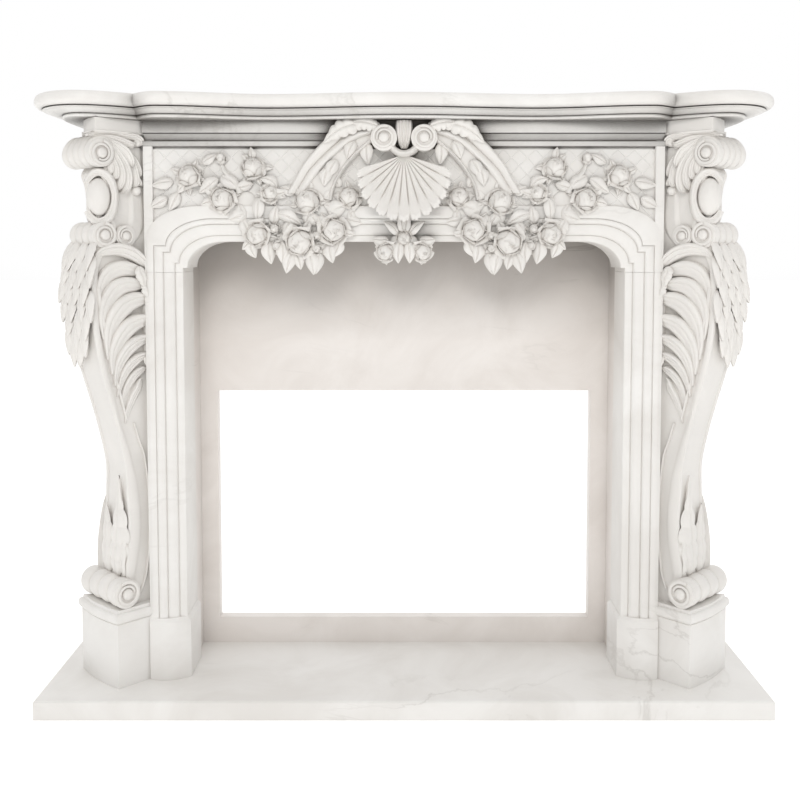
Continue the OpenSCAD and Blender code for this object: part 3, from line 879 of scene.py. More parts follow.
@dataclass
class FriezeGround:
    """Plain block of the frieze: the arch moulding, a latticed field, the frame round it and the
    cornice above, listed as heights and depths."""

    frame_x: float = 594.5
    field_top: float = 1331.0
    frame_top: float = 1345.3
    joint: float = 0.3
    lap: float = 9.0
    moulding: Moulding = field(default_factory=Moulding)
    cornice: tuple[tuple[float, float], ...] = (
        (1326.0, -56.0), (1331.0, -56.5), (1331.6, -63.6), (1333.4, -65.6), (1340.0, -65.8),
        (1343.6, -65.8),
        (1345.2, -64.0), (1345.6, -60.8), (1348.0, -59.4), (1352.0, -60.0), (1356.0, -62.0), (1359.5, -65.6),
        (1361.4, -67.6), (1361.8, -62.4), (1363.0, -62.4), (1363.4, -71.0), (1365.0, -72.0), (1390.8, -72.0))

    def build(self, finishes: Finishes) -> None:
        """Builds the moulded ground, the cornice and the latticed field, and dresses them.

        The arch's reveal is lined back to the jambs, just behind the moulding's own front, and a
        plain back covers the field and the frame. The field laps under the arch moulding.

        Args:
            finishes: the mantel's materials.
        """
        face = self.moulding.arch_ring()
        edge_x = LINES.seam_x - self.joint
        reveal = face[:, :6] * (1, 0, 1) + (0, -0.4, 0)
        frame_line = [(edge_x, -64.0), (self.frame_x + 3.4, -64.6), (self.frame_x + 1.2, -64.4),
                      (self.frame_x, -62.6), (self.frame_x - 0.4, -56.0), (self.frame_x - 3, -55.8)]
        strip = np.array([[(x, y, z) for x, y in frame_line] for z in (LINES.seam_z - 0.4, self.frame_top)])
        ground = Stone("frieze_ground")
        for band, back_y in ((face, 0.0), (reveal, LINES.jamb_back_y), (strip, 0.0)):
            ground.add_pair(self.moulding.closed(band, back_y))
        low = face[:, -1] - (0, 0, self.lap)
        edge = np.concatenate([[[edge_x, 0, LINES.seam_z]], low])[:, None] * (1, 0, 1)
        tall = edge * (1, 1, 0) + (0, 0, LINES.soffit_z - 0.2)
        out, back = np.array([0, self.joint, 0]), np.array([0, -2.0, 0])
        ground.add_pair(np.concatenate([edge + back, tall + back, tall + out, edge + out], 1))
        ground.place(finishes.plain, "marble_slab", ("frieze",))
        z, y = np.array(self.cornice).T
        bar = np.stack([np.stack([np.full(len(z), x), y, z], 1) for x in (-edge_x, edge_x)])
        cornice = Stone("frieze_cornice")
        cornice.add(self.moulding.closed(bar, 0.0))
        cornice.place(finishes.slab, "marble_slab")
        low[:, 1] = LINES.field_y
        panel = np.stack([low, low * (1, 1, 0) + (0, 0, self.field_top + 2)], 1)
        field_stone = Stone("frieze_field")
        field_stone.add_pair(self.moulding.closed(panel, 0.0))
        field_stone.place(finishes.field, "marble_carved")


# ---------- carving on the frieze ----------


def petal(radius: float, height: float, rim: float, arc: float, flare: float, wrap: float) -> Array:
    """Cupped petal standing on the first axis: a patch of a flattened ball that runs from behind
    its widest line up to the lip, where it may roll outwards. The lip drops to both sides.

    Args:
        radius, height: half width and height of the ball.
        rim: angle of the lip from the flower's axis at the petal's middle, in degrees.
        arc: half angle covered around the flower, in radians.
        flare: outward roll of the lip, as a share of the radius.
        wrap: how far one edge laps outside its neighbour, as a share of the radius.

    Returns:
        (n, 2 m, 3) rings.
    """
    v = np.linspace(0, 1, 9)[:, None]
    u = np.linspace(-1, 1, 12)[None, :]
    lip = np.radians(rim + 20 * u**2 + 38 * u**8)
    foot = math.radians(112)
    tilt = foot + (lip - foot) * v
    share = 1 + wrap * u + flare * v**4 - 0.05 * flare * v
    thin = radius * 0.15 * (1.1 - 0.5 * v**3) * (1.05 - 0.45 * u**2)
    angle = arc * u * (0.8 + 0.2 * np.sin(math.pi * v))
    sides = []
    for depth in (0 * thin, thin):
        reach = (radius * share - depth) * np.sin(tilt)
        rise = (height * share - depth) * np.cos(tilt) - height * 0.8 * flare * v**4
        sides.append(np.stack([reach * np.cos(angle), reach * np.sin(angle), rise], 2))
    return np.concatenate([sides[0], sides[1][:, ::-1]], 1)


def rose(radius: float, height: float, bloom: Bloom, draw: np.random.Generator) -> list[Array]:
    """Cabbage rose: whorls of cupped petals over a round heart, closing towards the middle. A whorl
    is its petal count, shares of the radius and height, and each petal's rim, arc and flare.

    Args:
        radius, height: overall reach and height.
        bloom: how far it has opened.
        draw: seeded source of small differences between petals.

    Returns:
        Closed shells, the flower's middle at the origin.
    """
    o = bloom.value
    whorls = [(5, 0.96, 0.66, 68, 0.8, 0.26 * o), (5, 0.8, 0.88, 47, 0.82, 0.1 + 0.14 * o),
              (4, 0.61, 1.0, 32, 0.95, 0.1), (3, 0.38, 1.04, 16, 1.2, 0.0)]
    shells = [lathe([(radius * 0.74, -2), (radius * 0.72, height * 0.36), (radius * 0.58, height * 0.6),
                     (radius * 0.36, height * 0.8), (POLE, height * 0.86)], 16)]
    start = draw.uniform(0, 72)
    for order, (count, share, lift, rim, arc, flare) in enumerate(whorls):
        for k in range(count):
            spin = 360 * (k + 0.5 * (order % 2)) / count + draw.uniform(-12, 12) + start
            size = draw.uniform(0.94, 1.06)
            piece = petal(radius * share * size, height * lift * draw.uniform(0.95, 1.05),
                          rim + draw.uniform(-5, 5), arc, flare, 0.08)
            shells.append(turn(piece, spin))
    return shells


@dataclass(frozen=True)
class Flower:
    """A rose's place on the right half, its size and the way it faces, in millimetres and degrees."""

    x: float
    z: float
    radius: float
    bloom: Bloom = Bloom.HALF
    look_out: float = 0.0
    look_up: float = 0.0
    lift: float = 0.0


@dataclass(frozen=True)
class Frond:
    """A leaf's foot on the right half, its size, direction, height, bend and curl."""

    x: float
    z: float
    length: float
    width: float
    way: float
    lift: float = 6.0
    bow: float = 0.0
    tip: float = 2.0
    base: float = 0.0


@dataclass
class Garland:
    """Roses, buds and leaves that hang across the frieze, and the pendant under the shell. Rows of
    leaves are read as Frond, and rows of bosses as across, height, radius and swell."""

    roses: tuple[Flower, ...] = (
        Flower(507, 1263, 30, Bloom.OPEN, 18, 22), Flower(429, 1208, 31, Bloom.OPEN, 10, 8, 3),
        Flower(356, 1281, 29, Bloom.HALF, 0, 30), Flower(130, 1213, 27, Bloom.OPEN, 0, 18),
        Flower(227, 1202, 33, Bloom.HALF, 14, 24, 4), Flower(347, 1126, 30, Bloom.OPEN, 10, -12, 12),
        Flower(246, 1107, 35, Bloom.OPEN, 8, -16, 20), Flower(166, 1134, 33, Bloom.OPEN, -12, -4, 12),
        Flower(316, 1222, 22, Bloom.OPEN, -26, 8, 6))
    buds: tuple[Flower, ...] = (
        Flower(432, 1303, 13, Bloom.BUD, 0, 40), Flower(206, 1094, 12, Bloom.BUD, 0, -20, 18),
        Flower(300, 1100, 12, Bloom.BUD, 10, -30, 14), Flower(206, 1122, 11, Bloom.BUD, 0, 10, 18),
        Flower(305, 1138, 13, Bloom.BUD, 0, 10, 12))
    leaves: tuple[tuple[float, ...], ...] = (
        (546, 1250, 54, 32, -12), (560, 1212, 48, 28, -28), (535, 1224, 48, 28, -64),
        (434, 1262, 60, 36, 212, 8), (440, 1258, 58, 34, -36, 8), (478, 1292, 44, 24, 150, 5),
        (358, 1246, 48, 26, -14, 8), (330, 1262, 44, 26, 60, 6), (392, 1196, 46, 28, 250, 8),
        (340, 1212, 60, 30, 272, 12, 0, 6, 8), (332, 1228, 56, 30, 178, 10, 6, 3, 4),
        (300, 1232, 48, 30, 30, 8, 8, 3, 4), (300, 1176, 66, 30, 205, 16, -8, 4, 4),
        (372, 1176, 50, 34, -20, 8, 0, 0, 2), (384, 1160, 46, 34, 240, 8, 0, 0, 2),
        (182, 1178, 52, 40, 160, 10, 0, 2, 4), (150, 1180, 44, 30, 20, 8, 0, 2, 4),
        (200, 1170, 54, 34, 250, 8, 0, 2, 8), (268, 1160, 52, 32, 280, 8, 0, 2, 8),
        (128, 1186, 44, 26, -100, 6, 0, 2), (140, 1160, 44, 28, 190, 8, 0, 2),
        (198, 1212, 40, 26, 140, 6), (258, 1222, 40, 26, 20, 6), (152, 1236, 36, 22, 70, 5),
        (320, 1108, 54, 36, 266, 6, 4, 6, 8), (290, 1108, 50, 34, 272, 8, -3, 8, 12),
        (262, 1086, 56, 34, 288, 8, 3, 8, 10), (262, 1090, 52, 32, 250, 6, -4, 6, 8),
        (224, 1084, 56, 34, 256, 8, -3, 8, 12), (200, 1082, 52, 34, 282, 8, 3, 8, 10),
        (176, 1106, 50, 32, 262, 6, 3, 6, 8), (150, 1112, 46, 30, 292, 6, -3, 5, 6),
        (366, 1110, 44, 30, 250, 6, 3, 4, 4), (232, 1150, 44, 28, 110, 8, 0, 2, 8),
        (206, 1146, 40, 26, 60, 8, 0, 2, 8), (310, 1150, 44, 28, 100, 8, 0, 2, 6))
    pendant_rose: Flower = Flower(44, 1084, 24, Bloom.OPEN, 14, -14, 6)
    pendant_leaves: tuple[tuple[float, ...], ...] = (
        (10, 1108, 52, 30, 276, 8, 3, 8, 8), (24, 1102, 40, 26, 300, 8, 0, 4, 6),
        (14, 1124, 46, 26, 40, 8, 4, 3, 4), (36, 1110, 40, 24, 2, 8, -3, 3, 4),
        (40, 1096, 36, 24, 20, 6, 0, 3, 2), (46, 1092, 40, 26, 262, 4, 0, 3, -4),
        (4, 1130, 44, 22, 78, 8, 2, 2, 6))
    bosses: tuple[tuple[float, ...], ...] = (
        (345, 1128, 30, 12), (300, 1106, 30, 14), (246, 1102, 34, 18), (200, 1106, 32, 18),
        (166, 1130, 30, 14), (270, 1150, 40, 10), (210, 1160, 40, 10), (340, 1180, 36, 8),
        (380, 1200, 30, 6), (180, 1190, 34, 8))
    pendant_bosses: tuple[tuple[float, ...], ...] = (
        (42, 1090, 20, 8), (12, 1104, 22, 12), (0.5, 1122, 18, 12))
    bud_stem: tuple[tuple[float, float], ...] = (
        (432, 1294), (426, 1276), (412, 1258), (396, 1240), (388, 1222))
    seed: int = 7

    def flower(self, stone: Stone, item: Flower, draw: np.random.Generator, tall: float = 1.0) -> None:
        """Adds one rose to each half of the frieze, its back cut flat behind the field."""
        for shell in rose(item.radius, item.radius * tall, item.bloom, draw):
            shell = turn(turn(shell, item.look_out, 1), -item.look_up, 0)
            rings = on_field(shell * 1.03, item.x, item.z, item.lift + 8)
            rings[..., 1] = np.minimum(rings[..., 1], LINES.field_y + 9)
            stone.add_pair(rings)

    def frond(self, stone: Stone, item: Frond) -> None:
        """Adds one leaf to each half, rolled a little about its midrib by a sine of its place."""
        roll = 22 * math.sin(1.7 * item.x + 0.9 * item.z)
        rings = turn(leaf(item.length, item.width, item.lift, item.bow, item.tip, thick=9), roll, 0)
        stone.add_pair(on_field(turn(rings, item.way), item.x, item.z, item.base + 4))

    def calyx(self, stone: Stone, item: Flower, draw: np.random.Generator) -> None:
        """Adds five small leaves that look out from under a flower."""
        for k in range(5):
            way = 72 * k + draw.uniform(0, 60)
            out, angle = 0.7 * item.radius, math.radians(way)
            size = item.radius * draw.uniform(0.7, 1.1)
            self.frond(stone, Frond(item.x + out * math.cos(angle), item.z + out * math.sin(angle), size,
                                    size * 0.66, way, 5, draw.uniform(-3, 3), 3, item.lift * 0.5 - 1))

    def bed(self, stone: Stone, places: tuple[tuple[float, ...], ...]) -> None:
        """Adds low bosses of stone behind the flowers."""
        for x, z, radius, swell in places:
            stone.add_pair(on_field(dome(radius, swell, 0, -12, 7, 20), x, z))

    def build(self, finishes: Finishes) -> None:
        """Builds and dresses the garlands and the pendant.

        Args:
            finishes: the mantel's materials.
        """
        draw = np.random.default_rng(self.seed)
        flowers, buds = Stone("garland_roses"), Stone("garland_buds")
        foliage, drop = Stone("garland_leaves"), Stone("pendant_flowers")
        for item in self.roses:
            self.flower(flowers, item, draw)
        for item in self.buds:
            self.flower(buds, item, draw, 1.5)
        for row in self.leaves:
            self.frond(foliage, Frond(*row))
        for item in (*self.roses, *self.buds[1:]):
            self.calyx(foliage, item, draw)
        stem = ribbon(curve(self.bud_stem, 20), np.linspace(4, 9, 20), np.linspace(10, 18, 20), ROUNDED)
        foliage.add_pair(on_field(stem))
        self.bed(foliage, self.bosses)
        self.flower(drop, self.pendant_rose, draw)
        for shell in rose(20, 24, Bloom.HALF, draw):
            drop.add(on_field(turn(shell, 12, 0), 0, 1116, 10))
        for row in self.pendant_leaves:
            self.frond(drop, Frond(*row))
        self.bed(drop, self.pendant_bosses)
        for stone in (flowers, buds, foliage, drop):
            stone.place(finishes.carved, "marble_carved")


@dataclass
class Shell:
    """Scallop shell under a fluted keystone: flutes fan out from the hinge and flare at the lip. The
    side flutes are shorter than the middle one. A crescent band runs under the hinge."""

    hinge_z: float = 1313.0
    flutes: int = 13
    spread: float = 71.0
    reach: float = 160.0
    side_reach: float = 109.0
    lip: float = 44.0
    crescent_half: float = 9.0
    crescent_out: float = 42.0
    key_half: float = 20.0
    key_foot: float = 12.0
    key_rise: float = 64.0

    def scallop(self) -> Array:
        """Fluted shell. The reach falls from the middle flute to the sides as a cosine, each flute
        is a rounded ridge, a half sine raised to a low power, and the height grows with the square
        of the way out.

        Returns:
            (n, 2 m, 3) rings of across, up and out from the hinge.
        """
        a = np.linspace(-1, 1, 12 * self.flutes + 1)[None, :]
        s = np.linspace(0.04, 1, 40)[:, None]
        ridge = np.abs(np.sin(math.pi * self.flutes * (a + 1) / 2)) ** 0.55
        fine = np.abs(np.sin(3 * math.pi * self.flutes * (a + 1) / 2)) ** 0.7
        fall = np.cos(math.radians(1.18 * self.spread) * a)
        reach = self.side_reach + (self.reach - self.side_reach) * fall
        reach = reach * (1 - ease(s, 0.55, 1) * (0.075 * (1 - ridge) + 0.025 * (1 - fine)))
        angle = np.radians(-90 + self.spread * a)
        height = 12 + self.lip * s**1.5 + 13 * s**0.8 * ridge * (1 - 0.3 * s) + 2.0 * s * fine
        height = height - 16 * (1 - a**2) * np.sin(math.pi * s**1.3) ** 1.1 - 5 * ease(s, 0.92, 1)
        flat = np.stack([reach * s * np.cos(angle), reach * s * np.sin(angle)], 2)
        front = np.concatenate([flat, height[..., None]], 2)
        under = np.where(s > 0.62, height - 8 - 20 * (1 - ease(s, 0.62, 0.9)), -2.0)
        back = np.concatenate([flat, np.minimum(under, height - 6)[..., None]], 2)[:, ::-1]
        return np.concatenate([front, back], 1)

    def crescent(self) -> Array:
        """Rounded band on an arc of an ellipse, open at the top.

        Returns:
            (n, 2 m, 3) rings of across, up and out from the hinge.
        """
        arc = np.radians(np.linspace(168, 372, 40))
        path = np.stack([32 * np.cos(arc), 30 + 28 * np.sin(arc)], 1)
        return ribbon(path, self.crescent_half, self.crescent_out, ROUNDED)

    def keystone(self) -> Array:
        """Keystone that swells by a sine up its height and by a half circle across, with flutes
        that follow a cosine.

        Returns:
            (n, 2 m, 3) rings of across, up and out from the hinge.
        """
        v = np.linspace(0, 1, 24)[:, None]
        t = np.linspace(-1, 1, 61)[None, :]
        x = self.key_half * np.sin(math.pi * (0.06 + 0.6 * v)) ** 0.7 * t
        z = self.key_foot + self.key_rise * v + 0 * t
        swell = 26 + 24 * np.sin(math.pi * (0.1 + 0.55 * v)) * np.sqrt(1.02 - t**2)
        front = np.stack([x, z, swell + 2.4 * np.cos(5 * math.pi * t)], 2)
        return np.concatenate([front, (front * (1, 1, 0) + (0, 0, -2))[:, ::-1]], 1)

    def build(self, finishes: Finishes) -> None:
        """Builds and dresses the shell, its crescent and the keystone above it.

        Args:
            finishes: the mantel's materials.
        """
        stone = Stone("scallop_shell")
        for grid in (self.scallop(), self.crescent(), self.keystone()):
            stone.add(on_field(grid, 0, self.hinge_z))
        stone.place(finishes.carved, "marble_carved")


@dataclass
class Scrolls:
    """C-scrolls each side of the shell: moulded bands between listed curves, with volutes, husks and
    a leaf lapped over each. Husks are listed as across, height, length and direction, and laps as
    across, height, length, width, direction, distance out and bend."""

    outer: tuple[tuple[float, float], ...] = (
        (60, 1389), (107, 1389.5), (148, 1378), (186, 1350), (217, 1319), (241, 1288), (260, 1253),
        (279, 1222))
    channel: tuple[tuple[float, float], ...] = (
        (52, 1372), (100, 1371), (134, 1360), (166, 1333), (196, 1305), (222, 1278), (240, 1250),
        (256, 1222))
    inner: tuple[tuple[float, float], ...] = (
        (62, 1364), (98, 1354), (126, 1340), (152, 1320), (178, 1296), (202, 1270), (220, 1247),
        (234, 1222))
    stem: tuple[tuple[float, float], ...] = (
        (70, 1352), (92, 1334), (112, 1316), (130, 1297), (146, 1276), (160, 1254), (170, 1230),
        (174, 1206))
    husks: tuple[tuple[float, float, float, float], ...] = (
        (116, 1344, 46, 292), (158, 1300, 48, 296), (176, 1282, 46, 286), (86, 1340, 52, 268))
    laps: tuple[tuple[float, ...], ...] = ((58, 1374, 70, 38, 8, 36, 6), (92, 1384, 108, 46, -26, 32, 12))
    rail: tuple[float, ...] = (0, 26, 33, 35, 34.5, 33, 31.5, 30, 27, 22)
    web: tuple[float, ...] = (20, 25, 29, 30, 29, 22)
    ground: tuple[float, ...] = (17, 18, 20, 21, 21, 20)

    def build(self, finishes: Finishes) -> None:
        """Builds and dresses both scrolls, which sink towards their feet.

        Args:
            finishes: the mantel's materials.
        """
        stone = Stone("c_scrolls")
        n = 70
        fall = np.linspace(1, 0.55, n)[:, None]
        lines = [curve(line, n) for line in (self.outer, self.channel, self.inner, self.stem)]
        for one, other, section in zip(lines, lines[1:], (self.rail, self.web, self.ground)):
            stone.add_pair(on_field(sheet_between(one, other, fall * np.array(section))))
        stone.add_pair(on_field(ribbon(lines[-1], np.linspace(6, 4.5, n), np.linspace(34, 17, n), ROUNDED)))
        for x, z, length, width, way, out, bow in self.laps:
            stone.add_pair(on_field(turn(leaf(length, width, 8, bow, 0, 5, 14), way), x, z, out - 2))
        for x, z, length, way in self.husks:
            stone.add_pair(on_field(turn(leaf(length, 30, 7, 3, 3, 0, 8), way), x, z, 16))
        for shell in volute(31, 44, -1.35, 110):
            stone.add_pair(on_field(shell, 47, 1350))
        stone.place(finishes.carved, "marble_carved")


# ---------- consoles ----------


@dataclass
class Console:
    """Diagonal scroll console, drawn with reach along its diagonal, width across it and height up.

    The near side is the one that faces the opening, at width 0. The leg and the head are listed as
    height, reach of the front and width; the rim as height and reach; the tail as reach and height.
    A lobe is its middle line, half width and height. A curl is its reach, height and direction, a
    tail its direction and length, and a bead its reach and height. A water leaf is its foot across
    and up, length, width, direction and lobes. A roll is read as the arguments of the method roll.
    """

    side: Side
    corner_x: float = 577.0
    leg: tuple[tuple[float, float, float], ...] = (
        (233, 126, 124), (263, 121, 126), (326, 124, 128), (384, 116, 126), (454, 115, 118), (501, 118, 108),
        (557, 121, 100), (605, 129, 98), (666, 143, 99), (716, 156, 101), (778, 173, 105), (839, 187, 111),
        (899, 196, 118), (946, 199, 122), (1000, 200, 124), (1046, 197, 124), (1090, 188, 120),
        (1128, 172, 116))
    head: tuple[tuple[float, float, float], ...] = (
        (1118, 156, 108), (1142, 150, 102), (1165, 158, 104), (1190, 158, 104), (1211, 158, 104),
        (1240, 162, 104), (1266, 170, 103), (1290, 158, 100), (1320, 156, 100), (1345, 166, 98),
        (1366, 172, 92))
    rim: tuple[tuple[float, float], ...] = (
        (233, 100), (266, 94), (298, 104), (335, 98), (374, 89), (420, 85), (467, 86), (542, 95),
        (609, 112), (665, 129), (732, 146), (797, 163), (840, 174), (869, 181), (930, 186), (990, 188),
        (1046, 184), (1128, 150))
    tail: tuple[tuple[float, float], ...] = (
        (91, 250), (74, 290), (66, 330), (60, 396), (60, 491), (70, 587), (84, 630), (97, 674))
    bay_rows: tuple[tuple[int, tuple[int, ...]], ...] = (
        (1112, (12, 48, 84, 110)), (1074, (0, 30, 66, 100)), (1034, (14, 50, 86, 112)),
        (994, (2, 34, 70, 104)), (954, (18, 54, 90)), (916, (36, 72, 100)), (882, (62, 88)))
    side_lobes: tuple[tuple[list[tuple[int, int]], int, int], ...] = (
        ([(178, 930), (176, 990), (161, 1026), (134, 1042), (104, 1042), (66, 1030)], 20, 19),
        ([(170, 880), (168, 942), (150, 984), (120, 1004), (64, 1004)], 23, 23),
        ([(160, 832), (155, 898), (134, 942), (102, 966), (52, 974)], 24, 26),
        ([(150, 796), (144, 850), (122, 892), (94, 914), (48, 924)], 22, 27),
        ([(144, 768), (134, 816), (112, 852), (86, 870), (50, 878)], 17, 26),
        ([(138, 742), (125, 784), (106, 814), (84, 830), (54, 838)], 13, 23),
        ([(129, 722), (117, 756), (101, 782), (82, 798), (66, 804)], 11, 19),
        ([(118, 676), (112, 706), (98, 738), (86, 760), (79, 782)], 10, 17),
        ([(66, 1050), (58, 980), (53, 920), (54, 862), (62, 806)], 13, 17))
    side_stem: tuple[tuple[int, int], ...] = (
        (184, 1000), (180, 960), (171, 915), (160, 866), (150, 820), (140, 775), (130, 740), (116, 684))
    side_arch: tuple[tuple[int, int], ...] = (
        (194, 1062), (180, 1080), (158, 1088), (132, 1090), (104, 1082), (80, 1066), (66, 1046))
    side_curls: tuple[tuple[int, int, int], ...] = (
        (78, 1044, 268), (70, 1014, 258), (62, 984, 254), (60, 940, 250), (60, 896, 244), (88, 1050, 250))
    head_lobes: tuple[tuple[list[tuple[int, int]], int, int], ...] = (
        ([(206, 1350), (176, 1357), (139, 1358), (112, 1354), (90, 1353), (76, 1346), (76, 1334)], 9, 24),
        ([(190, 1350), (158, 1349), (132, 1345), (112, 1338), (97, 1334), (88, 1338)], 9, 22),
        ([(172, 1348), (150, 1340), (131, 1330), (114, 1318), (103, 1300), (100, 1284)], 11, 22),
        ([(166, 1342), (146, 1328), (128, 1308), (115, 1284), (109, 1258), (112, 1236), (122, 1222)], 12, 21),
        ([(160, 1334), (146, 1318), (134, 1298), (126, 1274), (125, 1250), (134, 1228)], 10, 20),
        ([(158, 1322), (148, 1304), (141, 1284), (139, 1266), (142, 1252)], 9, 19),
        ([(158, 1310), (153, 1294), (151, 1278), (153, 1264)], 7, 17),
        ([(118, 1334), (104, 1314), (93, 1290), (87, 1266), (86, 1248), (92, 1236)], 9, 17),
        ([(104, 1322), (88, 1302), (79, 1280), (75, 1262)], 8, 15),
        ([(96, 1272), (84, 1256), (74, 1240)], 8, 16))
    band_back: tuple[tuple[int, int], ...] = (
        (64, 1330), (62, 1270), (62, 1215), (60, 1163), (63, 1138), (76, 1114), (96, 1099), (112, 1095))
    band_front: tuple[tuple[int, int], ...] = (
        (104, 1330), (101, 1270), (100, 1215), (100, 1175), (102, 1152), (106, 1140), (112, 1138),
        (118, 1138))
    rolls: tuple[tuple[float, ...], ...] = (
        (132, 268, 35, -16, 160, 4, 1.3, 60), (168, 1123, 31, -6, 116, 4, 1.3, 90),
        (114, 1121, 26, -5, 12, 1, -1.3, 90), (176, 1311, 32, -12, 128, 5, 1.55, 100, 0.42))
    tails: tuple[tuple[int, int], ...] = ((236, 58), (218, 62), (200, 56))
    tails_at: tuple[float, float, float] = (72.0, 840.0, 8.0)
    beads: tuple[tuple[int, int], ...] = ((80, 1342), (84, 1228))
    water_leaves: tuple[tuple[int, ...], ...] = (
        (46, 296, 214, 84, 94, 5), (86, 296, 170, 56, 86, 4), (36, 298, 250, 30, 92, 0),
        (14, 298, 150, 26, 88, 4))
    bay_seed: int = 3
    boss_at: tuple[float, float, float] = (172.0, 14.0, 1211.0)
    boss_turn: float = 35.0
    boss_root: float = -18.0

    def world(self, reach: Array, width: Array, z: Array) -> Array:
        """Points in the mantel's frame from reach, width and height: a turn of half a right angle.

        Args:
            reach, width, height: distances along the diagonal, across it and up.

        Returns:
            (..., 3) points.
        """
        x = self.corner_x + ROOT_HALF * (reach + width)
        y = ROOT_HALF * (width - reach)
        return np.stack([self.side.value * x, y, z], -1)

    def on_side(self, grid: Array, sunk: float = 0.0) -> Array:
        """Carving drawn on the near side: first axis reach, second height, third out of the side."""
        return self.world(grid[..., 0], -grid[..., 2] + sunk, grid[..., 1])

    def on_front(self, grid: Array) -> Array:
        """Carving drawn on the leg's front: first axis width, second height, third out of the front."""
        reach = self.front(grid[..., 1])
        return self.world(reach + grid[..., 2], grid[..., 0], grid[..., 1])

    def line(self, table: tuple[tuple[float, ...], ...], z: Array, column: int) -> Array:
        """One column of a table of heights and sizes, smoothed and read at heights z."""
        fine = curve(table, 12 * len(table))
        return np.interp(z, fine[:, 0], fine[:, column])

    def front(self, z: Array) -> Array:
        """Reach of the leg's front at heights z."""
        return self.line(self.leg, z, 1)

    def body(self, table: tuple[tuple[float, ...], ...], rim: Array, sunk: Array, panel: float,
             z: Array) -> Array:
        """Rings up the body: the near side with a band along its front edge, a front face with a
        sunk panel between raised edges, and the far side clipped at the back.

        Args:
            table: heights, reaches and widths of the front.
            rim: reach of the side band's inner edge at each height.
            sunk: depth of the side field at each height.
            panel: depth of the front panel.
            z: heights.

        Returns:
            (n, m, 3) rings.
        """
        reach = self.line(table, z, 1)
        width = self.line(table, z, 2)
        zero = np.zeros_like(z)
        inner = np.minimum(rim, reach - 14)
        near = [(zero + 34, sunk), ((34 + inner) / 2, sunk), (inner - 2.4, sunk), (inner - 1.2, sunk * 0.9),
                (inner, zero + 0.6), (inner + 1.5, zero), ((inner + reach) / 2, zero - 1.6)]
        far = [(zero + 28, zero + 27), (width * 0.7, width * 0.69), (width, width - 1),
               (width + 4, width - 0.2), ((width + reach) / 2, width), (reach - 5, width)]
        edge = [(1, 1), (0, 3.4), (0, 8.5), (0.6, 9.4), (panel, 10.6)]
        near += [(reach - back, zero + across) for back, across in [(3.2, 0), *edge]]
        far += [(reach - back, width - across) for back, across in [(3.2, 0), (2, 0.4), *edge]]
        near.append((reach - panel * 0.8, width / 2))
        far.append((reach - panel * 0.8, width / 2 + 1))
        flat = np.array(near + far[::-1])
        return self.world(flat[:, 0].T, flat[:, 1].T, z[:, None] * np.ones(len(flat)))

    def roll(self, reach: float, z: float, radius: float, start: float, end: float, reeds: int,
             turns: float, begin: float, crest: float = 0.0) -> list[Array]:
        """Reeded roll across the console with a volute on its near end.

        Args:
            reach, z: middle of the roll.
            radius: greatest radius.
            start, end: near and far ends across the console.
            reeds: number of swellings along it.
            turns, begin: turns and starting angle of the volute's band.
            crest: extra radius on top, as a share, where the roll runs back under the abacus.

        Returns:
            Closed shells in the mantel's frame.
        """
        t = np.linspace(0, 1, 14 * reeds + 1)
        swell = radius * (0.76 + 0.24 * np.abs(np.sin(math.pi * reeds * t)) ** 0.5)
        across = start + 3 + (end - start - 3) * t
        a = circle(48)
        far = swell[:, None] * (1 + crest * np.exp(-(((a - 1.9) / 0.8) ** 2)))
        drum = self.world(reach + far * np.cos(a), across[:, None] * np.ones(48), z + far * np.sin(a))
        face = [self.on_side(grid + (reach, z, 0), start + 6) for grid in volute(radius, 9, turns, begin)]
        return [drum, *face]

    def bay_leaves(self) -> list[Array]:
        """Overlapping laurel leaves that hang down the leg's front and lap over its near edge.

        Returns:
            Closed shells in the mantel's frame.
        """
        shells = []
        draw = np.random.default_rng(self.bay_seed)
        for z, columns in self.bay_rows:
            for w in columns:
                lean = (w - 56) * 0.16 + draw.uniform(-7, 7)
                grid = turn(leaf(76, 38, 7, draw.uniform(-3, 3), 13, 0, 14), -90 + lean)
                base = 4 if w > 2 else 1
                shells.append(self.on_front(grid + (w, z + draw.uniform(-4, 4), base)))
        return shells

    def side_foliage(self) -> list[Array]:
        """Acanthus down the near side of the leg: long hollow lobes that rise from one stem, under
        an arched leaf, and end in a curled husk and two tails.

        Returns:
            Closed shells in the mantel's frame.
        """
        shells = [self.on_side(lobe(curve(path, 36), w, h), 8) for path, w, h in self.side_lobes]
        stem = ribbon(curve(self.side_stem, 60), np.linspace(7, 3, 60), np.linspace(9, 5, 60), ROUNDED, -3)
        shells.append(self.on_side(stem, 4))
        shells.append(self.on_side(lobe(curve(self.side_arch, 40), 15, 27), 6))
        curl = leaf(46, 30, 12, 4, 8, 3, 14)
        for reach, z, way in self.side_curls:
            shells.append(self.on_side(turn(curl, way) + (reach, z, 13), 4))
        for way, length in self.tails:
            shells.append(self.on_side(turn(leaf(length, 20, 8, 4, 2, 0, 10), way) + self.tails_at, 4))
        return shells

    def head_foliage(self) -> list[Array]:
        """Acanthus on the near side of the head: a leaf that runs back over the roll to a curled
        tip, and a spray that hangs beside the cartouche.

        Returns:
            Closed shells in the mantel's frame.
        """
        shells = [self.on_side(lobe(curve(path, 34), w, h), 4) for path, w, h in self.head_lobes]
        bead = dome(11, 11, 6, -6, 7, 20)
        for reach, z in self.beads:
            shells.append(self.on_side(bead + (reach, z, 0), 2))
        return shells

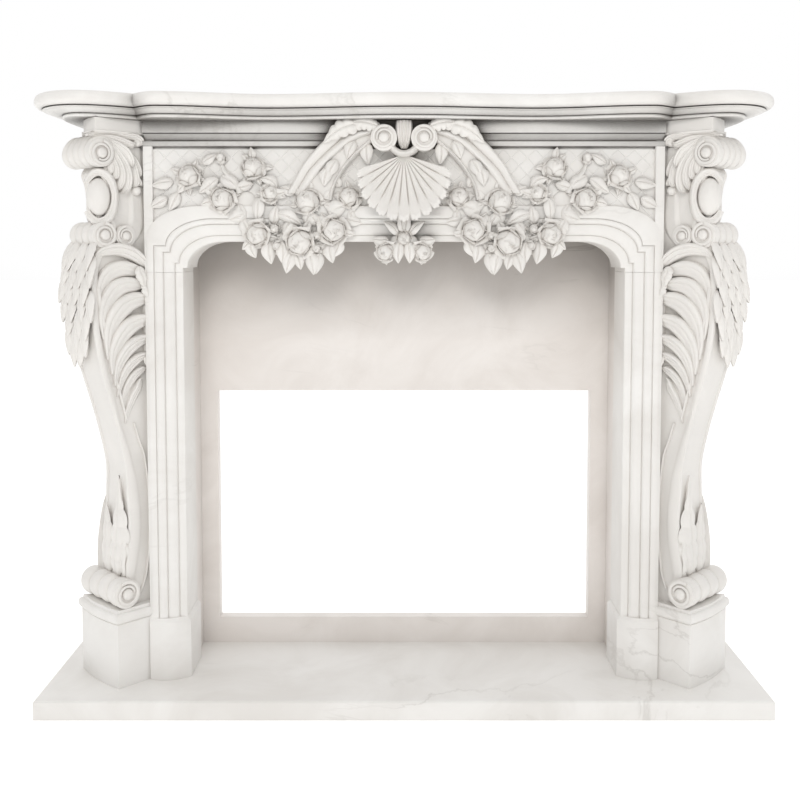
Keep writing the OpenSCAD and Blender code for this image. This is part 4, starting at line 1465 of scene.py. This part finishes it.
    def head_band(self) -> Array:
        """Plain C-scroll down the near side of the head, from behind the leaf to the waist.

        Returns:
            Closed shell in the mantel's frame.
        """
        back, front = curve(self.band_back, 60), curve(self.band_front, 60)
        section = np.array([0, 4, 5, 5, 4.4, 4, 4, 4.4, 5.4, 5.4, 3, 0])
        return self.on_side(sheet_between(back, front, section, -8), 6)

    def cartouche(self) -> list[Array]:
        """Egg-shaped boss on the near front corner of the head, in a moulded ring whose ends roll
        outwards at the front, above and below the boss.

        Returns:
            Closed shells of the boss and of the ring, in the mantel's frame.
        """
        a = circle(48)
        t = np.linspace(0, math.pi / 2, 14)[:, None]
        egg = np.stack([27 * np.cos(t) * np.cos(a) + POLE, 44 * np.cos(t) * np.sin(a),
                        4 + 24 * np.sin(t) + 0 * a], 2)
        boss = np.concatenate([[egg[0] * (1, 1, 0) + (0, 0, self.boss_root)], egg])
        b = np.radians(np.linspace(-146, 146, 60))
        path = np.stack([34 * np.cos(b) + 3, 58 * np.sin(b)], 1)
        width = 7.5 + 4 * np.abs(np.sin(b)) ** 2 * np.sin(np.linspace(0.25, math.pi - 0.25, 60))
        ring = ribbon(path, width, 15 + 5 * np.abs(np.sin(b)) ** 3, RING_MOULD, self.boss_root)
        shells = []
        way = math.radians(self.boss_turn)
        for grid in (boss, ring):
            out = grid[..., 2] - 0.0016 * grid[..., 1] ** 2
            reach = self.boss_at[0] - grid[..., 0] * math.cos(way) + out * math.sin(way)
            across = self.boss_at[1] - grid[..., 0] * math.sin(way) - out * math.cos(way)
            shells.append(self.world(reach, across, self.boss_at[2] + grid[..., 1]))
        return shells

    def foot_leaves(self) -> list[Array]:
        """Water leaf that climbs the foot of the leg from behind the roll, with lobed edges.

        Returns:
            Closed shells in the mantel's frame.
        """
        shells = []
        for w, z, length, width, way, lobes in self.water_leaves:
            grid = turn(leaf(length, width, 9, 0, 8, lobes, 14), way)
            shells.append(self.on_front(grid + (w, z, -3)))
        return shells

    def abacus(self) -> Array:
        """Square block at the head with a swept lower edge.

        Returns:
            Closed shell in the mantel's frame.
        """
        steps = [(1357, -5), (1359.4, -1), (1361.4, 0.6), (1362.6, 0.6), (1363.2, -1), (1390.8, -1)]
        rings = []
        for z, grow in steps:
            corners = np.array([
                (36, -16 - grow), (100, -16 - grow), (194 + grow, -16 - grow), (190 + grow, 26),
                (178 + grow, 70 + grow), (120, 74 + grow), (76 + grow, 74 + grow), (28, 27)])
            rings.append(self.world(*corners.T, np.full(len(corners), z)))
        return np.stack(rings)

    def plinth(self) -> Array:
        """Bowed plinth block with a moulded cap.

        Returns:
            Closed shell in the mantel's frame.
        """
        a = np.linspace(-math.pi / 2, math.pi / 2, 13)
        roll = [(213.5 + 12 * math.sin(t), -1 + 7 * math.cos(t) ** 0.8) for t in a]
        steps = [(45, 0), (46, 0), (198.6, 0), (200.2, -1.6), *roll, (227, -2.4), (231.8, -2.6), (233, -3.8)]
        t = np.linspace(0, 1, 21)
        rings = []
        for z, grow in steps:
            g = grow - 1
            wide = 178 + 2 * g
            front = np.stack([161 + g + 9 * np.sin(math.pi * t), -18 - g + wide * t], 1)
            near = np.array([(66.0, -18 - g), (110, -18 - g)])
            line = np.linspace(160 + g, 30, len(front) + 2)
            flat = np.concatenate([near, front, np.stack([line, line], 1)])
            rings.append(self.world(*flat.T, np.full(len(flat), float(z))))
        return np.stack(rings)

    def build(self, finishes: Finishes) -> None:
        """Builds and dresses the console and its plinth.

        Args:
            finishes: the mantel's materials.
        """
        word = self.side.word
        base = Stone(f"console_plinth_stone_{word}")
        base.add(self.plinth())
        base.place(finishes.plain, "marble_slab", (f"console_plinth_{word}",))
        shaft = Stone(f"console_body_{word}")
        z = np.linspace(self.leg[0][0], self.leg[-1][0], 260)
        rim = np.interp(z, *np.array(self.rim).T)
        sunk = 5 + 5 * ease(z, 800, 980) * (1 - ease(z, 1080, 1120))
        shaft.add(self.body(self.leg, rim, sunk, 3.2, z))
        z = np.linspace(1112, self.head[-1][0], 90)
        shaft.add(self.body(self.head, 150 + 0 * z, 6 + 0 * z, 2.0, z))
        shaft.add(self.on_side(ribbon(curve(self.tail, 60), 2.2, 5.4, ROUNDED, -3), 4))
        drums = [shell for row in self.rolls for shell in self.roll(*row)]
        for grid in (self.abacus(), self.head_band(), *self.cartouche(), *drums):
            shaft.add(grid)
        shaft.place(finishes.carved, "marble_carved", (f"console_{word}",))
        foliage = Stone(f"console_foliage_{word}")
        for grid in (*self.bay_leaves(), *self.side_foliage(), *self.head_foliage(), *self.foot_leaves()):
            foliage.add(grid)
        foliage.place(finishes.carved, "marble_carved")


# ---------- stage ----------


@dataclass
class Stage:
    """Camera, soft studio lights and a plain pale floor."""

    eye: tuple[float, float, float] = (0.0, -2.443, 1.095)
    down: float = 3.6
    lens: float = 45.0
    shift: tuple[float, float] = (-0.005, -0.1125)
    floor_half: float = 30.0

    def light(self, name: str, at: tuple[float, float, float], aim: tuple[float, float, float],
              size: tuple[float, float], power: float, tint: str) -> None:
        """Adds a rectangular soft light.

        Args:
            name: object name.
            at, aim: where it hangs and what it points at, in metres.
            size: width and height in metres.
            power: watts.
            tint: hex colour.
        """
        lamp = bpy.data.lights.new(name, "AREA")
        lamp.shape = "RECTANGLE"
        lamp.size, lamp.size_y = size
        lamp.energy = power
        lamp.color = linear(tint)[:3]
        thing = bpy.data.objects.new(name, lamp)
        bpy.context.scene.collection.objects.link(thing)
        thing.location = at
        way = np.array(aim) - np.array(at)
        flat = math.hypot(way[0], way[1])
        thing.rotation_euler = (math.atan2(flat, -way[2]), 0, math.atan2(-way[0], way[1]))

    def build(self) -> None:
        """Sets the camera, the lights, the floor, and a world that is white overhead and behind the
        mantel and dims evenly towards the front.
        """
        scene = bpy.context.scene
        camera = bpy.data.cameras.new("camera")
        camera.lens = self.lens
        camera.sensor_width = 36.0
        camera.shift_x, camera.shift_y = self.shift
        camera.clip_end = 50.0
        holder = bpy.data.objects.new("camera", camera)
        holder.location = self.eye
        holder.rotation_euler = (math.radians(90 - self.down), 0, 0)
        scene.collection.objects.link(holder)
        scene.camera = holder
        self.light("key", (-0.3, -5.8, 3.6), (0, 0, 0.6), (2.6, 1.6), 118.0, "#FFFEFC")
        self.light("fill", (1.9, -3.4, 1.7), (0, 0, 0.8), (2.2, 2.2), 4.0, "#FBFCFF")
        world = bpy.data.worlds.new("studio")
        world.use_nodes = True
        tree = world.node_tree
        sky = add_node(tree, "TexCoord").outputs["Generated"]
        way = add_node(tree, "VectorMath", {1: (0.0, 0.55, 0.83)}, {0: sky}, operation="DOT_PRODUCT")
        wall = add_node(tree, "MapRange", {"From Min": -0.35, "From Max": 0.5, "To Min": 0.15, "To Max": 1.0},
                        {"Value": way.outputs["Value"]})
        tree.links.new(wall.outputs[0], tree.nodes["Background"].inputs["Strength"])
        tree.nodes["Background"].inputs["Color"].default_value = linear("#FFFFFF")
        scene.world = world
        scene.view_settings.view_transform = "Standard"
        mesh = bpy.data.meshes.new("floor")
        half = self.floor_half
        corners = [(-half, -half, 0), (half, -half, 0), (half, half, 0), (-half, half, 0)]
        mesh.from_pydata(corners, [], [(0, 1, 2, 3)])
        floor = bpy.data.objects.new("floor", mesh)
        scene.collection.objects.link(floor)
        paper = bpy.data.materials.new("pale_paper")
        paper.use_nodes = True
        sheet = paper.node_tree.nodes["Principled BSDF"]
        sheet.inputs["Base Color"].default_value = linear("#F9F9F8")
        sheet.inputs["Roughness"].default_value = 0.9
        sheet.inputs["Emission Color"].default_value = linear("#FFFFFF")
        sheet.inputs["Emission Strength"].default_value = 0.3
        mesh.materials.append(paper)


def main() -> None:
    """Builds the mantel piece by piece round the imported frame."""
    logging.basicConfig(level=logging.INFO, format="%(name)s %(message)s")
    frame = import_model()
    Stage().build()
    finishes = Finishes.make()
    for name, node in frame["nodes"].items():
        inside = name.startswith(("back_panel", "cheek"))
        dress_node(node, finishes.recess if inside else finishes.plain)
    Shelf().build(finishes)
    Jambs().build(finishes)
    FriezeGround().build(finishes)
    Scrolls().build(finishes)
    Shell().build(finishes)
    Garland().build(finishes)
    for side in Side:
        Console(side).build(finishes)


if __name__ == "__main__":
    main()
